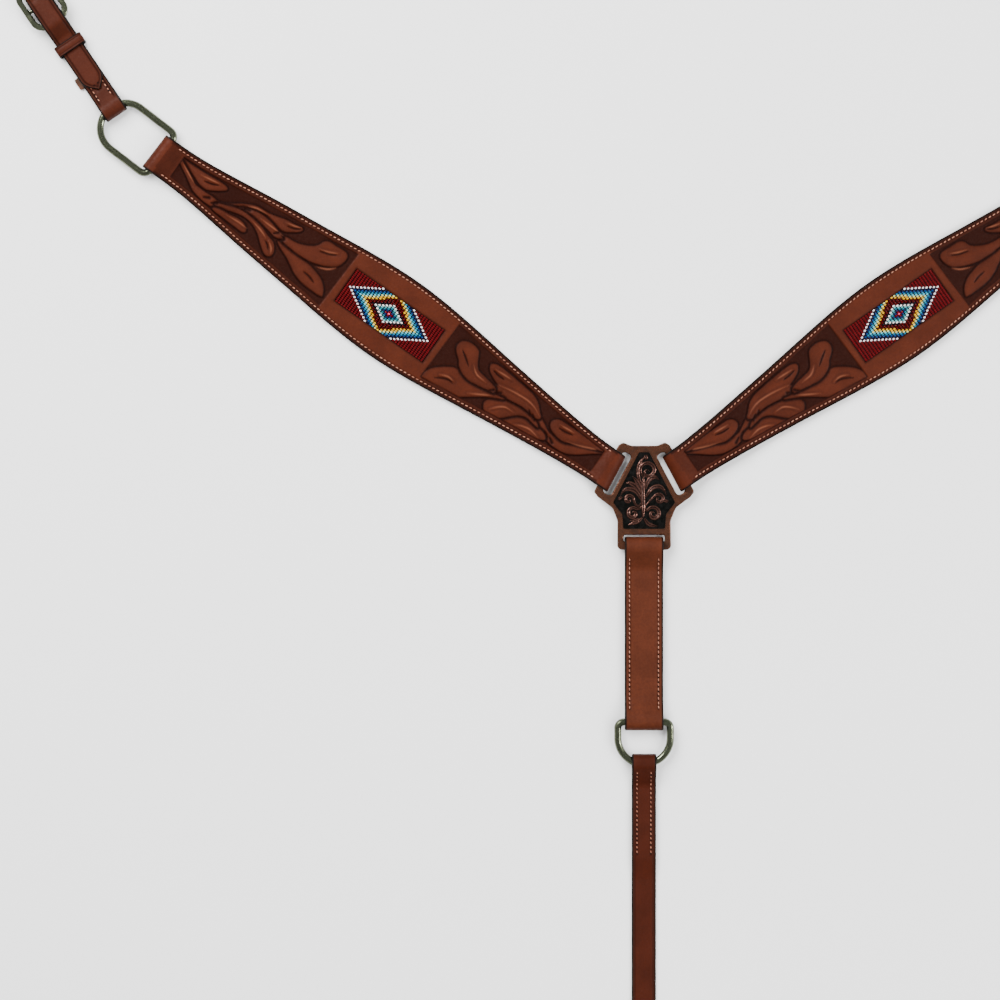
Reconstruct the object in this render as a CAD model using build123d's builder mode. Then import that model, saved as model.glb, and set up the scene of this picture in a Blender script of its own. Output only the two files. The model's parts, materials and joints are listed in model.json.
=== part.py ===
"""A Western breast collar: a cast Y plate, two shaped wings with inlaid beadwork, rings, tugs and a girth strap.

It lies flat and face up on a table, the wings reaching up to both sides and the girth strap running down.
X runs across the horse's chest, Y from the girth up towards the saddle, and Z out of the face of the leather.
Everything is laid out round the middle of the cast plate. At the end the whole collar is moved along Y,
so that the origin is the middle of the surface it lies on. Lengths are in millimetres, angles in degrees.
"""

import math
import os

from build123d import *

os.makedirs("parts", exist_ok=True)

# Leather, hardware and the folds that hold one in the other
WING_LEATHER = 2.4
LINING_LEATHER = 1.8
STRAP_LEATHER = 1.7
PLY_GAP = 0.15
WIRE_RADIUS = 2.4
BAR_HEIGHT = 5.6
SNUG_FOLD = BAR_HEIGHT - WING_LEATHER / 2
ROUND_FOLD = BAR_HEIGHT - STRAP_LEATHER / 2

# The cast plate
PLATE_THICKNESS = 3.6
PLATE_ROUNDING = 0.9
SIDE_BAR = (22.8, 18.6)
SIDE_BAR_ANGLE = 28.0
SIDE_SLOT = (6.4, 30.2)
SIDE_SLOT_FROM_BAR = 5.6
LOWER_BAR_Y = -31.5
LOWER_SLOT = (27.4, 4.6)
LOWER_SLOT_Y = -26.85
RECESS_DEPTH = 1.2
ENAMEL_DEPTH = 0.5
SCROLL_RISE = 1.1

# The wings
WING_LENGTH = 362.2
WING_ANGLE = 35.0
WING_END_WIDTH = 26.2
WING_OUTLINE = [
    (18, 13.8),
    (54, 17.1),
    (98, 22.2),
    (143, 27.5),
    (172, 29.2),
    (202, 28.1),
    (246, 23.7),
    (291, 19.0),
    (335, 14.0),
]
RETURN_TAB = 36.0
WINDOW_AT = 177.8
WINDOW_LENGTH = 71.4
WINDOW_WIDTH = 26.0
BACKING_THICKNESS = 0.8
BEAD_HEIGHT = 1.5

# The oblong rings at the wings' outer ends
RING_ANGLE = 37.5
RING_LENGTH = 46.2
RING_WIDTH = 33.6
RING_INNER_CORNER = 5.0
RING_OUTER_CORNER = 16.5

# The tugs, which buckle to the saddle
TUG_ANGLE = 56.0
TUG_WIDTH = 16.0
TUG_LENGTH = 190.0
TUG_LIFT = 2.3
BILLET_TIP = 16.2
BILLET_POINT = 10.0
KEEPER_AT = 50.6
KEEPER_WIDTH = 7.5
BUCKLE_AT = 83.3
BUCKLE_LENGTH = 33.4
BUCKLE_WIDTH = 27.3
BUCKLE_RAIL = 3.8
BUCKLE_BAR_RADIUS = 1.5
BUCKLE_UNDERSIDE = 7.9
BUCKLE_THICKNESS = 2.8
HOLE_PITCH = 25.0

# The drop strap and the dee
DROP_WIDTH = 25.4
DROP_LENGTH = 116.8
DEE_WIDTH = 34.8
DEE_HEIGHT = 27.8
DEE_TOP_CORNER = 4.0
DEE_BOTTOM_CORNER = 17.2

# The girth strap and the bolt snap at its lower end
GIRTH_WIDTH = 16.0
GIRTH_LENGTH = 430.0
GIRTH_TAB = 62.0
EYE_WIRE = 2.0
BARREL_RADIUS = 4.9
BORE_RADIUS = 2.55
BOLT_RADIUS = 2.45
BOLT_TRAVEL = 8.0
HOOK_WIRE = 2.4


def along(angle):
    """The level direction at an angle from X."""
    return Vector(math.cos(math.radians(angle)), math.sin(math.radians(angle)), 0)


def step(start, angle, length, sideways=0.0):
    """The point a length along a direction from start, and some way to its left."""
    point = Vector(*start) + along(angle) * length + along(angle + 90) * sideways
    return (point.X, point.Y)


def plan(start, angle, height=0.0):
    """A level plane at a height, with X along the strap."""
    return Plane(origin=(start[0], start[1], height), x_dir=along(angle), z_dir=(0, 0, 1))


def edge_view(start, angle, sideways=0.0):
    """An upright plane through the strap, with X along it and Y up."""
    origin = step(start, angle, 0, sideways)
    return Plane(origin=(origin[0], origin[1], 0), x_dir=along(angle), z_dir=along(angle - 90))


def cross_view(start, angle, length):
    """An upright plane across the strap, with X to its left and Y up."""
    origin = step(start, angle, length)
    return Plane(origin=(origin[0], origin[1], 0), x_dir=along(angle + 90), z_dir=along(angle))


def hinge_inset(bend, width):
    """How far inside the crown of a wire bend the hinge line of a strap across it lies.

    The wire falls away from the crown towards both edges of the strap and crosses them at a slant.
    The line is placed so that the wire reaches equally far from it at the crown and at the edges.
    """
    slant = math.asin(width / 2 / bend)
    fall = bend * (1 - math.cos(slant))
    return (fall + WIRE_RADIUS / math.cos(slant) - WIRE_RADIUS) / 2


def leather(plane, run, thickness, width):
    """A strap: a run of straight stretches and bends seen from its edge, drawn out to the strap's width."""
    points = [(x, y) for x, y, bend in run]
    bends = [bend for x, y, bend in run[1:-1]]
    with BuildSketch(plane) as edge:
        with BuildLine():
            FilletPolyline(*points, radius=bends)
        trace(line_width=thickness)
    extrude(edge.sketch, amount=width / 2, both=True)


def bent_wire(plane, corners, bends, radius):
    """A closed loop of round wire."""
    with BuildLine(plane) as run:
        FilletPolyline(*corners, radius=bends, close=True)
    loop = run.wire()
    with BuildSketch(Plane(origin=loop @ 0, z_dir=loop % 0)) as section:
        Circle(radius)
    sweep(section.sketch, path=loop)


def mirrored(part):
    """The same piece for the other side of the chest."""
    with BuildPart() as twin:
        mirror(part, about=Plane.YZ)
    return twin.part


pieces = {}
pivots = {"centre": (0, 0)}


def keep(name, part, both_sides=False):
    """Put a finished piece in the collar, with its twin if it has one."""
    if not both_sides:
        pieces[name] = part
        return
    pieces["right_" + name] = part
    pieces["left_" + name] = mirrored(part)


# ---------------------------------------------------------------- centre plate

EAR_AND_WAIST = [
    (0, 34.4, 0),
    (8.5, 34.4, 6),
    (14.0, 36.7, 2.2),
    (17.0, 34.65, 1.8),
    (33.3, 3.95, 2.2),
    (30.6, 0.5, 2),
    (21.0, -6.6, 6),
    (17.6, -15, 8),
    (17.8, -34.4, 3.2),
    (0, -34.4, 0),
]
RECESS = [
    (0, 30.1, 0),
    (3.4, 30.1, 1.5),
    (20.6, -3.2, 1.5),
    (14.6, -10.8, 3),
    (13.8, -20.6, 1.2),
    (0, -20.6, 0),
]
plate_top = BAR_HEIGHT + PLATE_THICKNESS / 2
recess_floor = plate_top - RECESS_DEPTH


def half_outline(corners):
    """A face from its right-hand half, mirrored in the middle line."""
    with BuildLine() as outline:
        FilletPolyline(*[(x, y) for x, y, bend in corners], radius=[bend for x, y, bend in corners[1:-1]])
        mirror(about=Plane.YZ)
    make_face(outline.edges())


with BuildPart() as centre_plate:
    with BuildSketch(Plane.XY.offset(plate_top - PLATE_THICKNESS)):
        half_outline(EAR_AND_WAIST)
    extrude(amount=PLATE_THICKNESS)
    for side in (1, -1):
        bar = (side * SIDE_BAR[0], SIDE_BAR[1])
        out = SIDE_BAR_ANGLE if side == 1 else 180 - SIDE_BAR_ANGLE
        with BuildSketch(plan(bar, out)):
            with Locations((-SIDE_SLOT_FROM_BAR, 0)):
                RectangleRounded(*SIDE_SLOT, 2.4)
        extrude(amount=2 * BAR_HEIGHT, mode=Mode.SUBTRACT)
    with BuildSketch(Plane.XY):
        with Locations((0, LOWER_SLOT_Y)):
            RectangleRounded(*LOWER_SLOT, 1.5)
    extrude(amount=2 * BAR_HEIGHT, mode=Mode.SUBTRACT)
    rims = centre_plate.faces().filter_by(Axis.Z).edges()
    fillet(rims, PLATE_ROUNDING)
    with BuildSketch(Plane.XY.offset(recess_floor)):
        half_outline(RECESS)
    extrude(amount=2 * RECESS_DEPTH, mode=Mode.SUBTRACT)
keep("centre_plate", centre_plate.part)

with BuildPart() as enamel_fill:
    with BuildSketch(Plane.XY.offset(recess_floor)):
        half_outline(RECESS)
        offset(amount=-0.06)
    extrude(amount=ENAMEL_DEPTH)
keep("enamel_fill", enamel_fill.part)

# Each curl: middle, outer radius, angle where it starts, turns (positive is anticlockwise)
CURLS = [
    ((-7.1, -10.6), 4.4, 20, -1.5),
    ((6.8, -11.0), 4.4, 160, 1.5),
    ((-9.8, -1.2), 3.5, -20, 1.3),
    ((9.8, -1.2), 3.5, 200, -1.3),
    ((0.8, 18.6), 4.6, 250, -1.2),
]
# Each leaf: where it leaves the stem, and its tip
LEAVES = [
    ((-2.9, 9.0), (-8.2, 14.3)),
    ((-5.0, 4.8), (-13.0, 3.6)),
    ((3.4, 9.4), (9.4, 12.6)),
    ((5.0, 4.2), (13.4, 4.4)),
    ((-1.8, -15.6), (-10.0, -18.0)),
    ((1.8, -15.6), (10.0, -18.0)),
    ((0.6, 25.0), (1.2, 28.0)),
    ((0, -17.5), (0, 13.0)),
]
CURL_WIDTH = 1.5
LEAF_WIDTH = 2.2

with BuildPart() as scrollwork:
    scroll_base = Plane.XY.offset(recess_floor + ENAMEL_DEPTH + 0.02)
    for middle, radius, first, turns in CURLS:
        with BuildSketch(scroll_base):
            with BuildLine():
                Spline(
                    *[
                        step(middle, first + 360 * turns * part / 10, radius * (1 - 0.075 * part))
                        for part in range(11)
                    ]
                )
            trace(line_width=CURL_WIDTH)
        extrude(amount=SCROLL_RISE)
    for root, tip in LEAVES:
        with BuildSketch(scroll_base):
            with BuildLine():
                Line(root, tip)
            trace(line_width=LEAF_WIDTH)
        extrude(amount=SCROLL_RISE)
keep("scrollwork", scrollwork.part)

# ---------------------------------------------------------------- wings

wing_start = SIDE_BAR
ring_bar = step(wing_start, WING_ANGLE, WING_LENGTH)
pivots["wing"] = wing_start
pivots["ring"] = ring_bar
panel_underside = LINING_LEATHER + PLY_GAP / 2
panel_middle = panel_underside + WING_LEATHER / 2
over_tab = panel_middle + WING_LEATHER + PLY_GAP
fold_foot = BAR_HEIGHT - SNUG_FOLD
fold_crown = BAR_HEIGHT + SNUG_FOLD
fold_bend = SNUG_FOLD - 0.02

WING_FOLD = [
    (RETURN_TAB, panel_middle, 0),
    (14, panel_middle, 12),
    (4, fold_foot, 12),
    (-SNUG_FOLD, fold_foot, fold_bend),
    (-SNUG_FOLD, fold_crown, fold_bend),
    (3, fold_crown, 8),
    (15, over_tab, 10),
    (RETURN_TAB + 4, over_tab, 60),
    (RETURN_TAB + 26, panel_middle, 60),
    (RETURN_TAB + 34, panel_middle, 0),
]


def wing_outline(first, last):
    """The wing seen from above, between two places along it."""
    with BuildLine() as outline:
        Spline(
            (-2 * BAR_HEIGHT, WING_END_WIDTH / 2),
            *WING_OUTLINE,
            (WING_LENGTH + 2 * BAR_HEIGHT, WING_END_WIDTH / 2),
            tangents=((1, 0), (1, 0)),
        )
        mirror(about=Plane.XZ)
        for end in (-2 * BAR_HEIGHT, WING_LENGTH + 2 * BAR_HEIGHT):
            Line((end, -WING_END_WIDTH / 2), (end, WING_END_WIDTH / 2))
    make_face(outline.edges())
    with Locations(((first + last) / 2, 0)):
        Rectangle(last - first, WING_LENGTH, mode=Mode.INTERSECT)


with BuildPart() as wing_face:
    with BuildSketch(plan(wing_start, WING_ANGLE, panel_underside)):
        wing_outline(RETURN_TAB + 28, WING_LENGTH - RETURN_TAB - 28)
    extrude(amount=WING_LEATHER)
    leather(edge_view(wing_start, SIDE_BAR_ANGLE), WING_FOLD, WING_LEATHER, 2 * WING_END_WIDTH)
    leather(edge_view(ring_bar, RING_ANGLE + 180), WING_FOLD, WING_LEATHER, 2 * WING_END_WIDTH)
    with BuildSketch(plan(wing_start, WING_ANGLE, -BAR_HEIGHT)):
        wing_outline(-2 * BAR_HEIGHT, WING_LENGTH + 2 * BAR_HEIGHT)
    extrude(amount=4 * BAR_HEIGHT, mode=Mode.INTERSECT)
    with BuildSketch(plan(wing_start, WING_ANGLE)):
        with Locations((WINDOW_AT, 0)):
            Rectangle(WINDOW_LENGTH, WINDOW_WIDTH)
    extrude(amount=2 * BAR_HEIGHT, mode=Mode.SUBTRACT)
keep("wing_face", wing_face.part, both_sides=True)

with BuildPart() as wing_lining:
    with BuildSketch(plan(wing_start, WING_ANGLE)):
        wing_outline(18, WING_LENGTH - 18)
    extrude(amount=LINING_LEATHER)
keep("wing_lining", wing_lining.part, both_sides=True)


def window_slab(underside, thickness):
    """A slab that fills the window in the wing's face."""
    with BuildPart() as slab:
        with BuildSketch(plan(wing_start, WING_ANGLE, underside)):
            with Locations((WINDOW_AT, 0)):
                Rectangle(WINDOW_LENGTH - 0.3, WINDOW_WIDTH - 0.3)
        extrude(amount=thickness)
    return slab.part


keep("bead_backing", window_slab(panel_underside, BACKING_THICKNESS), both_sides=True)
bead_underside = panel_underside + BACKING_THICKNESS + 0.05
keep("bead_panel", window_slab(bead_underside, BEAD_HEIGHT), both_sides=True)

# ---------------------------------------------------------------- rings

with BuildPart() as ring:
    half = RING_WIDTH / 2
    bent_wire(
        plan(ring_bar, RING_ANGLE, BAR_HEIGHT),
        [(0, -half), (RING_LENGTH, -half), (RING_LENGTH, half), (0, half)],
        [RING_INNER_CORNER, RING_OUTER_CORNER, RING_OUTER_CORNER, RING_INNER_CORNER],
        WIRE_RADIUS,
    )
keep("ring", ring.part, both_sides=True)

# ---------------------------------------------------------------- tugs

bend_middle = step(
    ring_bar, RING_ANGLE, RING_LENGTH - RING_OUTER_CORNER, RING_WIDTH / 2 - RING_OUTER_CORNER
)
tug_start = step(bend_middle, TUG_ANGLE, RING_OUTER_CORNER - hinge_inset(RING_OUTER_CORNER, TUG_WIDTH))
pivots["tug"] = tug_start
pivots["buckle"] = step(tug_start, TUG_ANGLE, BUCKLE_AT)
pivots["tug_top"] = step(tug_start, TUG_ANGLE, TUG_LENGTH)
pivots["keeper"] = step(tug_start, TUG_ANGLE, KEEPER_AT)

round_foot = BAR_HEIGHT - ROUND_FOLD
round_crown = BAR_HEIGHT + ROUND_FOLD
round_bend = ROUND_FOLD - 0.02
front_ply = TUG_LIFT + STRAP_LEATHER + 0.2
over_return = front_ply + STRAP_LEATHER + 0.2
billet_ply = front_ply + STRAP_LEATHER + PLY_GAP
buckle_fold = BUCKLE_BAR_RADIUS + 0.2 + STRAP_LEATHER / 2
buckle_height = front_ply + buckle_fold
buckle_crown = buckle_height + buckle_fold
billet_over_buckle = 12.4

TUG_RUN = [
    (66, front_ply, 0),
    (BUCKLE_AT + buckle_fold, front_ply, buckle_fold - 0.02),
    (BUCKLE_AT + buckle_fold, buckle_crown, buckle_fold - 0.02),
    (80.5, buckle_crown, 2.5),
    (74.5, over_return, 3),
    (64, over_return, 4),
    (58, front_ply, 4),
    (15, front_ply, 6),
    (3, round_crown, 5),
    (-ROUND_FOLD, round_crown, round_bend),
    (-ROUND_FOLD, round_foot, round_bend),
    (3, round_foot, 8),
    (13, TUG_LIFT, 8),
    (TUG_LENGTH - 13, TUG_LIFT, 8),
    (TUG_LENGTH - 3, round_foot, 8),
    (TUG_LENGTH + ROUND_FOLD, round_foot, round_bend),
    (TUG_LENGTH + ROUND_FOLD, round_crown, round_bend),
    (TUG_LENGTH - 3, round_crown, 5),
    (TUG_LENGTH - 15, front_ply, 6),
    (96.5, front_ply, 4),
    (86.8, billet_over_buckle, 3),
    (66, billet_over_buckle, 3),
    (57.5, billet_ply, 4),
    (BILLET_TIP, billet_ply, 0),
]

with BuildPart() as tug_strap:
    leather(edge_view(tug_start, TUG_ANGLE), TUG_RUN, STRAP_LEATHER, TUG_WIDTH)
    # the pointed tip of the billet, cut from the top ply only
    with BuildSketch(plan(tug_start, TUG_ANGLE, billet_ply - STRAP_LEATHER / 2 - 0.05)):
        with Locations((BILLET_TIP + BILLET_POINT / 2 - 1, 0)):
            Rectangle(BILLET_POINT + 2, TUG_WIDTH + 2)
        with BuildLine():
            for hand in (1, -1):
                ThreePointArc(
                    (BILLET_TIP, 0),
                    (BILLET_TIP + 0.42 * BILLET_POINT, hand * 0.68 * TUG_WIDTH / 2),
                    (BILLET_TIP + BILLET_POINT + 1.05, hand * TUG_WIDTH / 2),
                )
            Line(
                (BILLET_TIP + BILLET_POINT + 1.05, TUG_WIDTH / 2),
                (BILLET_TIP + BILLET_POINT + 1.05, -TUG_WIDTH / 2),
            )
        make_face(mode=Mode.SUBTRACT)
    extrude(amount=STRAP_LEATHER + 0.1, mode=Mode.SUBTRACT)
    # the slot in the fold that lets the tongue through
    with BuildSketch(plan(tug_start, TUG_ANGLE, TUG_LIFT + STRAP_LEATHER / 2 + 0.1)):
        with Locations((BUCKLE_AT, 0)):
            Rectangle(9, 4.2)
    extrude(amount=7.7, mode=Mode.SUBTRACT)
    # the hole that the tongue is in, stretched by use
    with BuildSketch(plan(tug_start, TUG_ANGLE, buckle_height)):
        with Locations((BUCKLE_AT + 5.7, 0)):
            SlotOverall(6.8, 4.2)
    extrude(amount=8, mode=Mode.SUBTRACT)
    # the other holes in the billet
    with BuildSketch(plan(tug_start, TUG_ANGLE, front_ply - STRAP_LEATHER / 2 - 0.05)):
        with Locations(*[(BUCKLE_AT + 5.7 + HOLE_PITCH * count, 0) for count in (1, 2, 3)]):
            Circle(2.0)
    extrude(amount=STRAP_LEATHER + 0.1, mode=Mode.SUBTRACT)
keep("tug_strap", tug_strap.part, both_sides=True)

with BuildPart() as tug_tab:
    with BuildSketch(plan(tug_start, TUG_ANGLE, 0.1)):
        with Locations((26.5, -2)):
            RectangleRounded(8, 18, 1)
    extrude(amount=1.2)
keep("tug_tab", tug_tab.part, both_sides=True)

with BuildPart() as keeper:
    with BuildSketch(cross_view(tug_start, TUG_ANGLE, KEEPER_AT - KEEPER_WIDTH / 2)):
        with Locations((0, 4.4)):
            RectangleRounded(20.4, 8.8, 2)
            RectangleRounded(17.8, 6.2, 0.8, mode=Mode.SUBTRACT)
    extrude(amount=KEEPER_WIDTH)
keep("keeper", keeper.part, both_sides=True)

with BuildPart() as buckle_frame:
    with BuildSketch(plan(tug_start, TUG_ANGLE, BUCKLE_UNDERSIDE)):
        with Locations((BUCKLE_AT, 0)):
            RectangleRounded(BUCKLE_LENGTH, BUCKLE_WIDTH, 9)
            RectangleRounded(BUCKLE_LENGTH - 2 * BUCKLE_RAIL, BUCKLE_WIDTH - 2 * BUCKLE_RAIL, 6, mode=Mode.SUBTRACT)
    extrude(amount=BUCKLE_THICKNESS)
    fillet(buckle_frame.faces().filter_by(Axis.Z).edges(), 1.0)
    rail_middle = (BUCKLE_WIDTH - BUCKLE_RAIL) / 2
    with BuildSketch(plan(tug_start, TUG_ANGLE, buckle_height - 1.9)):
        with Locations((BUCKLE_AT, rail_middle), (BUCKLE_AT, -rail_middle)):
            RectangleRounded(5, BUCKLE_RAIL - 0.2, 0.8)
    extrude(amount=BUCKLE_UNDERSIDE + 1 - buckle_height + 1.9)
    with BuildSketch(edge_view(tug_start, TUG_ANGLE)):
        with Locations((BUCKLE_AT, buckle_height)):
            Circle(BUCKLE_BAR_RADIUS)
    extrude(amount=rail_middle, both=True)
keep("buckle_frame", buckle_frame.part, both_sides=True)

tongue_rest = BUCKLE_UNDERSIDE + BUCKLE_THICKNESS + 1.2
with BuildPart() as buckle_tongue:
    with BuildSketch(edge_view(tug_start, TUG_ANGLE)):
        with BuildLine():
            FilletPolyline(
                (BUCKLE_AT - 0.5, buckle_height + 2.5),
                (BUCKLE_AT + 2, buckle_height + 2.75),
                (BUCKLE_AT + 12, tongue_rest),
                (BUCKLE_AT + 15.6, tongue_rest),
                radius=8,
            )
        trace(line_width=2.2)
        with Locations((BUCKLE_AT, buckle_height)):
            Circle(3.4)
            Circle(BUCKLE_BAR_RADIUS + 0.08, mode=Mode.SUBTRACT)
    extrude(amount=1.3, both=True)
keep("buckle_tongue", buckle_tongue.part, both_sides=True)

# ---------------------------------------------------------------- drop strap and dee

drop_start = (0, LOWER_BAR_Y)
dee_bar = step(drop_start, -90, DROP_LENGTH)
pivots["drop"] = drop_start
pivots["dee"] = dee_bar
drop_front = fold_foot + WING_LEATHER + PLY_GAP

DROP_RUN = [
    (DROP_LENGTH / 2 - 0.4, fold_foot, 0),
    (-SNUG_FOLD, fold_foot, fold_bend),
    (-SNUG_FOLD, fold_crown, fold_bend),
    (3, fold_crown, 6),
    (15, drop_front, 10),
    (DROP_LENGTH - 15, drop_front, 10),
    (DROP_LENGTH - 3, fold_crown, 6),
    (DROP_LENGTH + SNUG_FOLD, fold_crown, fold_bend),
    (DROP_LENGTH + SNUG_FOLD, fold_foot, fold_bend),
    (DROP_LENGTH / 2 + 0.4, fold_foot, 0),
]

with BuildPart() as drop_strap:
    leather(edge_view(drop_start, -90), DROP_RUN, WING_LEATHER, DROP_WIDTH)
keep("drop_strap", drop_strap.part)

with BuildPart() as dee:
    half = DEE_WIDTH / 2
    bent_wire(
        plan(dee_bar, -90, BAR_HEIGHT),
        [(0, -half), (DEE_HEIGHT, -half), (DEE_HEIGHT, half), (0, half)],
        [DEE_TOP_CORNER, DEE_BOTTOM_CORNER, DEE_BOTTOM_CORNER, DEE_TOP_CORNER],
        WIRE_RADIUS,
    )
keep("dee", dee.part)

# ---------------------------------------------------------------- girth strap and snap

girth_start = step(dee_bar, -90, DEE_HEIGHT - hinge_inset(DEE_BOTTOM_CORNER, GIRTH_WIDTH))
eye_bar = step(girth_start, -90, GIRTH_LENGTH)
pivots["girth"] = girth_start
pivots["eye"] = eye_bar
girth_front = round_foot + STRAP_LEATHER + PLY_GAP

GIRTH_RUN = [
    (GIRTH_TAB, round_foot, 0),
    (-ROUND_FOLD, round_foot, round_bend),
    (-ROUND_FOLD, round_crown, round_bend),
    (3, round_crown, 5),
    (15, girth_front, 8),
    (GIRTH_TAB + 2, girth_front, 30),
    (GIRTH_TAB + 16, round_foot, 30),
    (GIRTH_LENGTH - GIRTH_TAB - 16, round_foot, 30),
    (GIRTH_LENGTH - GIRTH_TAB - 2, girth_front, 30),
    (GIRTH_LENGTH - 15, girth_front, 8),
    (GIRTH_LENGTH - 3, round_crown, 5),
    (GIRTH_LENGTH + ROUND_FOLD, round_crown, round_bend),
    (GIRTH_LENGTH + ROUND_FOLD, round_foot, round_bend),
    (GIRTH_LENGTH - GIRTH_TAB, round_foot, 0),
]

with BuildPart() as girth_strap:
    leather(edge_view(girth_start, -90), GIRTH_RUN, STRAP_LEATHER, GIRTH_WIDTH)
keep("girth_strap", girth_strap.part)


def rod(first, last, radius, mode=Mode.ADD):
    """A round rod down the snap's axis, between two distances below the eye's bar."""
    with BuildSketch(cross_view(eye_bar, -90, first)) as section:
        with Locations((0, BAR_HEIGHT)):
            Circle(radius)
    extrude(section.sketch, amount=last - first, mode=mode)


BOSS = (12.5, 19.5)
BARREL = (20.0, 50.0)
BORE_END = 23.0
BOLT = (36.5, 65.5)
KNOB_AT = 44.0

with BuildPart() as snap_eye:
    bent_wire(
        plan(eye_bar, -90, BAR_HEIGHT),
        [(0, -11.2), (6, -11.2), (15, -5.5), (15, 5.5), (6, 11.2), (0, 11.2)],
        [3, 5, 3, 3, 5, 3],
        EYE_WIRE,
    )
    rod(*BOSS, 4.4)
    rod(BOSS[0] - 4, BOSS[1] + 1, 2.1, Mode.SUBTRACT)
keep("snap_eye", snap_eye.part)

with BuildPart() as snap_body:
    with BuildLine(plan(eye_bar, -90, BAR_HEIGHT)) as hook_run:
        FilletPolyline((43, -2.9), (52, -15.5), (68.2, -15.5), (68.2, 2.8), radius=[7, 8.3])
    hook_line = hook_run.wire()
    with BuildSketch(Plane(origin=hook_line @ 0, z_dir=hook_line % 0)):
        Circle(HOOK_WIRE)
    sweep(path=hook_line)
    rod(*BARREL, BARREL_RADIUS)
    rod(BARREL[1] - 3, BARREL[1], BARREL_RADIUS + 0.4)
    rod(BOSS[0] - 2.2, BOSS[0] - 0.2, 3.2)
    rod(BOSS[0] - 0.3, BARREL[0] + 1, 2.0)
    rod(BORE_END, BARREL[1] + 1, BORE_RADIUS, Mode.SUBTRACT)
    with BuildSketch(plan(eye_bar, -90, BAR_HEIGHT)):
        with Locations((KNOB_AT - BOLT_TRAVEL / 2, 0)):
            SlotOverall(BOLT_TRAVEL + 3.0, 2.8)
    extrude(amount=2 * BAR_HEIGHT, mode=Mode.SUBTRACT)
keep("snap_body", snap_body.part)

with BuildPart() as snap_bolt:
    rod(*BOLT, BOLT_RADIUS)
    with BuildSketch(plan(eye_bar, -90, BAR_HEIGHT)):
        with Locations((KNOB_AT, 0)):
            Circle(1.2)
    extrude(amount=5.6)
    with BuildSketch(plan(eye_bar, -90, BAR_HEIGHT + 5.2)):
        with Locations((KNOB_AT, 0)):
            Circle(2.8)
    extrude(amount=1.4)
keep("snap_bolt", snap_bolt.part)

SPRING_LENGTH = BOLT[0] - BORE_END - 1.2
with BuildPart() as snap_spring:
    coil_start = step(eye_bar, -90, BORE_END + 0.6)
    with BuildLine():
        coil = Helix(
            pitch=SPRING_LENGTH / 7,
            height=SPRING_LENGTH,
            radius=1.9,
            center=(coil_start[0], coil_start[1], BAR_HEIGHT),
            direction=(0, -1, 0),
        )
    with BuildSketch(Plane(origin=coil @ 0, z_dir=coil % 0)):
        Circle(0.35)
    sweep(path=coil, is_frenet=True)
keep("snap_spring", snap_spring.part)

# ---------------------------------------------------------------- move to the origin and write

boxes = [part.bounding_box() for part in pieces.values()]
front = min(box.min.Y for box in boxes)
back = max(box.max.Y for box in boxes)
shift_y = -(front + back) / 2

for name, part in pieces.items():
    placed = part.moved(Location((0, shift_y, 0)))
    placed.label = name
    export_step(placed, "parts/" + name + ".step")

print("moved along Y by", round(shift_y, 4))
for name, point in pivots.items():
    print(name, round(point[0], 4), round(point[1] + shift_y, 4))
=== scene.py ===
# %% [markdown]
# # A Western breast collar
# A breast collar keeps a saddle from sliding back. Two shaped leather wings meet at a cast plate on
# the horse's chest, each ends in an oblong ring with a buckled tug, and one strap runs down to the girth.
# The CAD model gives every pivot, ring and buckle its place. Here that frame is loaded first, and each
# leather piece is then built round it with its carving, stitching and beads.

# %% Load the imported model
import json
import math

import bmesh
import bpy
import numpy as np
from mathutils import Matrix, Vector


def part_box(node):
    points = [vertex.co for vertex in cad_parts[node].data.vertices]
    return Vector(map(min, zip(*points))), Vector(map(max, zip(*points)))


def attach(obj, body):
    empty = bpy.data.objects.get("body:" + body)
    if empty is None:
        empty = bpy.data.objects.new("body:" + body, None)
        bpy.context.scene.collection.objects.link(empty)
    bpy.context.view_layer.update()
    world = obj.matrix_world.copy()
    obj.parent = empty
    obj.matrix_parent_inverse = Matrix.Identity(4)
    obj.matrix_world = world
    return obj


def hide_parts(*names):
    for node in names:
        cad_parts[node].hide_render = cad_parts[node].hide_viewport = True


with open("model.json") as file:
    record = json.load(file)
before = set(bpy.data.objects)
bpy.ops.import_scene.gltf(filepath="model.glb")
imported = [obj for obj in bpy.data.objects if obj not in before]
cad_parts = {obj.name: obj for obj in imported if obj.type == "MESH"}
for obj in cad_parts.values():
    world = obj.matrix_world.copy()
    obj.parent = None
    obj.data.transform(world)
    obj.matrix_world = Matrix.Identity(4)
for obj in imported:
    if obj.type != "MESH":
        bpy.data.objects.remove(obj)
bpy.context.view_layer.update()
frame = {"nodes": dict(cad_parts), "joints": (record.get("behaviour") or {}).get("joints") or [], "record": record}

MM = 0.001

# %% [markdown]
# ## Where each strap starts and which way it runs
# Each strap is easiest to shape in its own terms: so far along, so far across, so far up. A lay holds the
# point where the strap starts, its heading, and its hand, which is -1 on the left, where across is mirrored.
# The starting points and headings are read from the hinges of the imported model, so nothing has to be fitted.

# %% Lays of the straps
hinge = {joint["name"]: joint for joint in frame["joints"] if "pos_m" in joint}


def hinge_point(name):
    """A hinge's place on the table, in mm."""
    return np.array(hinge[name]["pos_m"][:2]) / MM


def square_to(name):
    """The heading square to a hinge on the right-hand side, in degrees."""
    across, up = hinge[name]["axis"][:2]
    return math.degrees(math.atan2(up, across)) % 180 - 90


def lay(start, heading, side="right"):
    """A strap's start, heading and hand. The left side mirrors the right."""
    if side == "right":
        return (tuple(start), heading, 1)
    return ((-start[0], start[1]), 180 - heading, -1)


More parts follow.
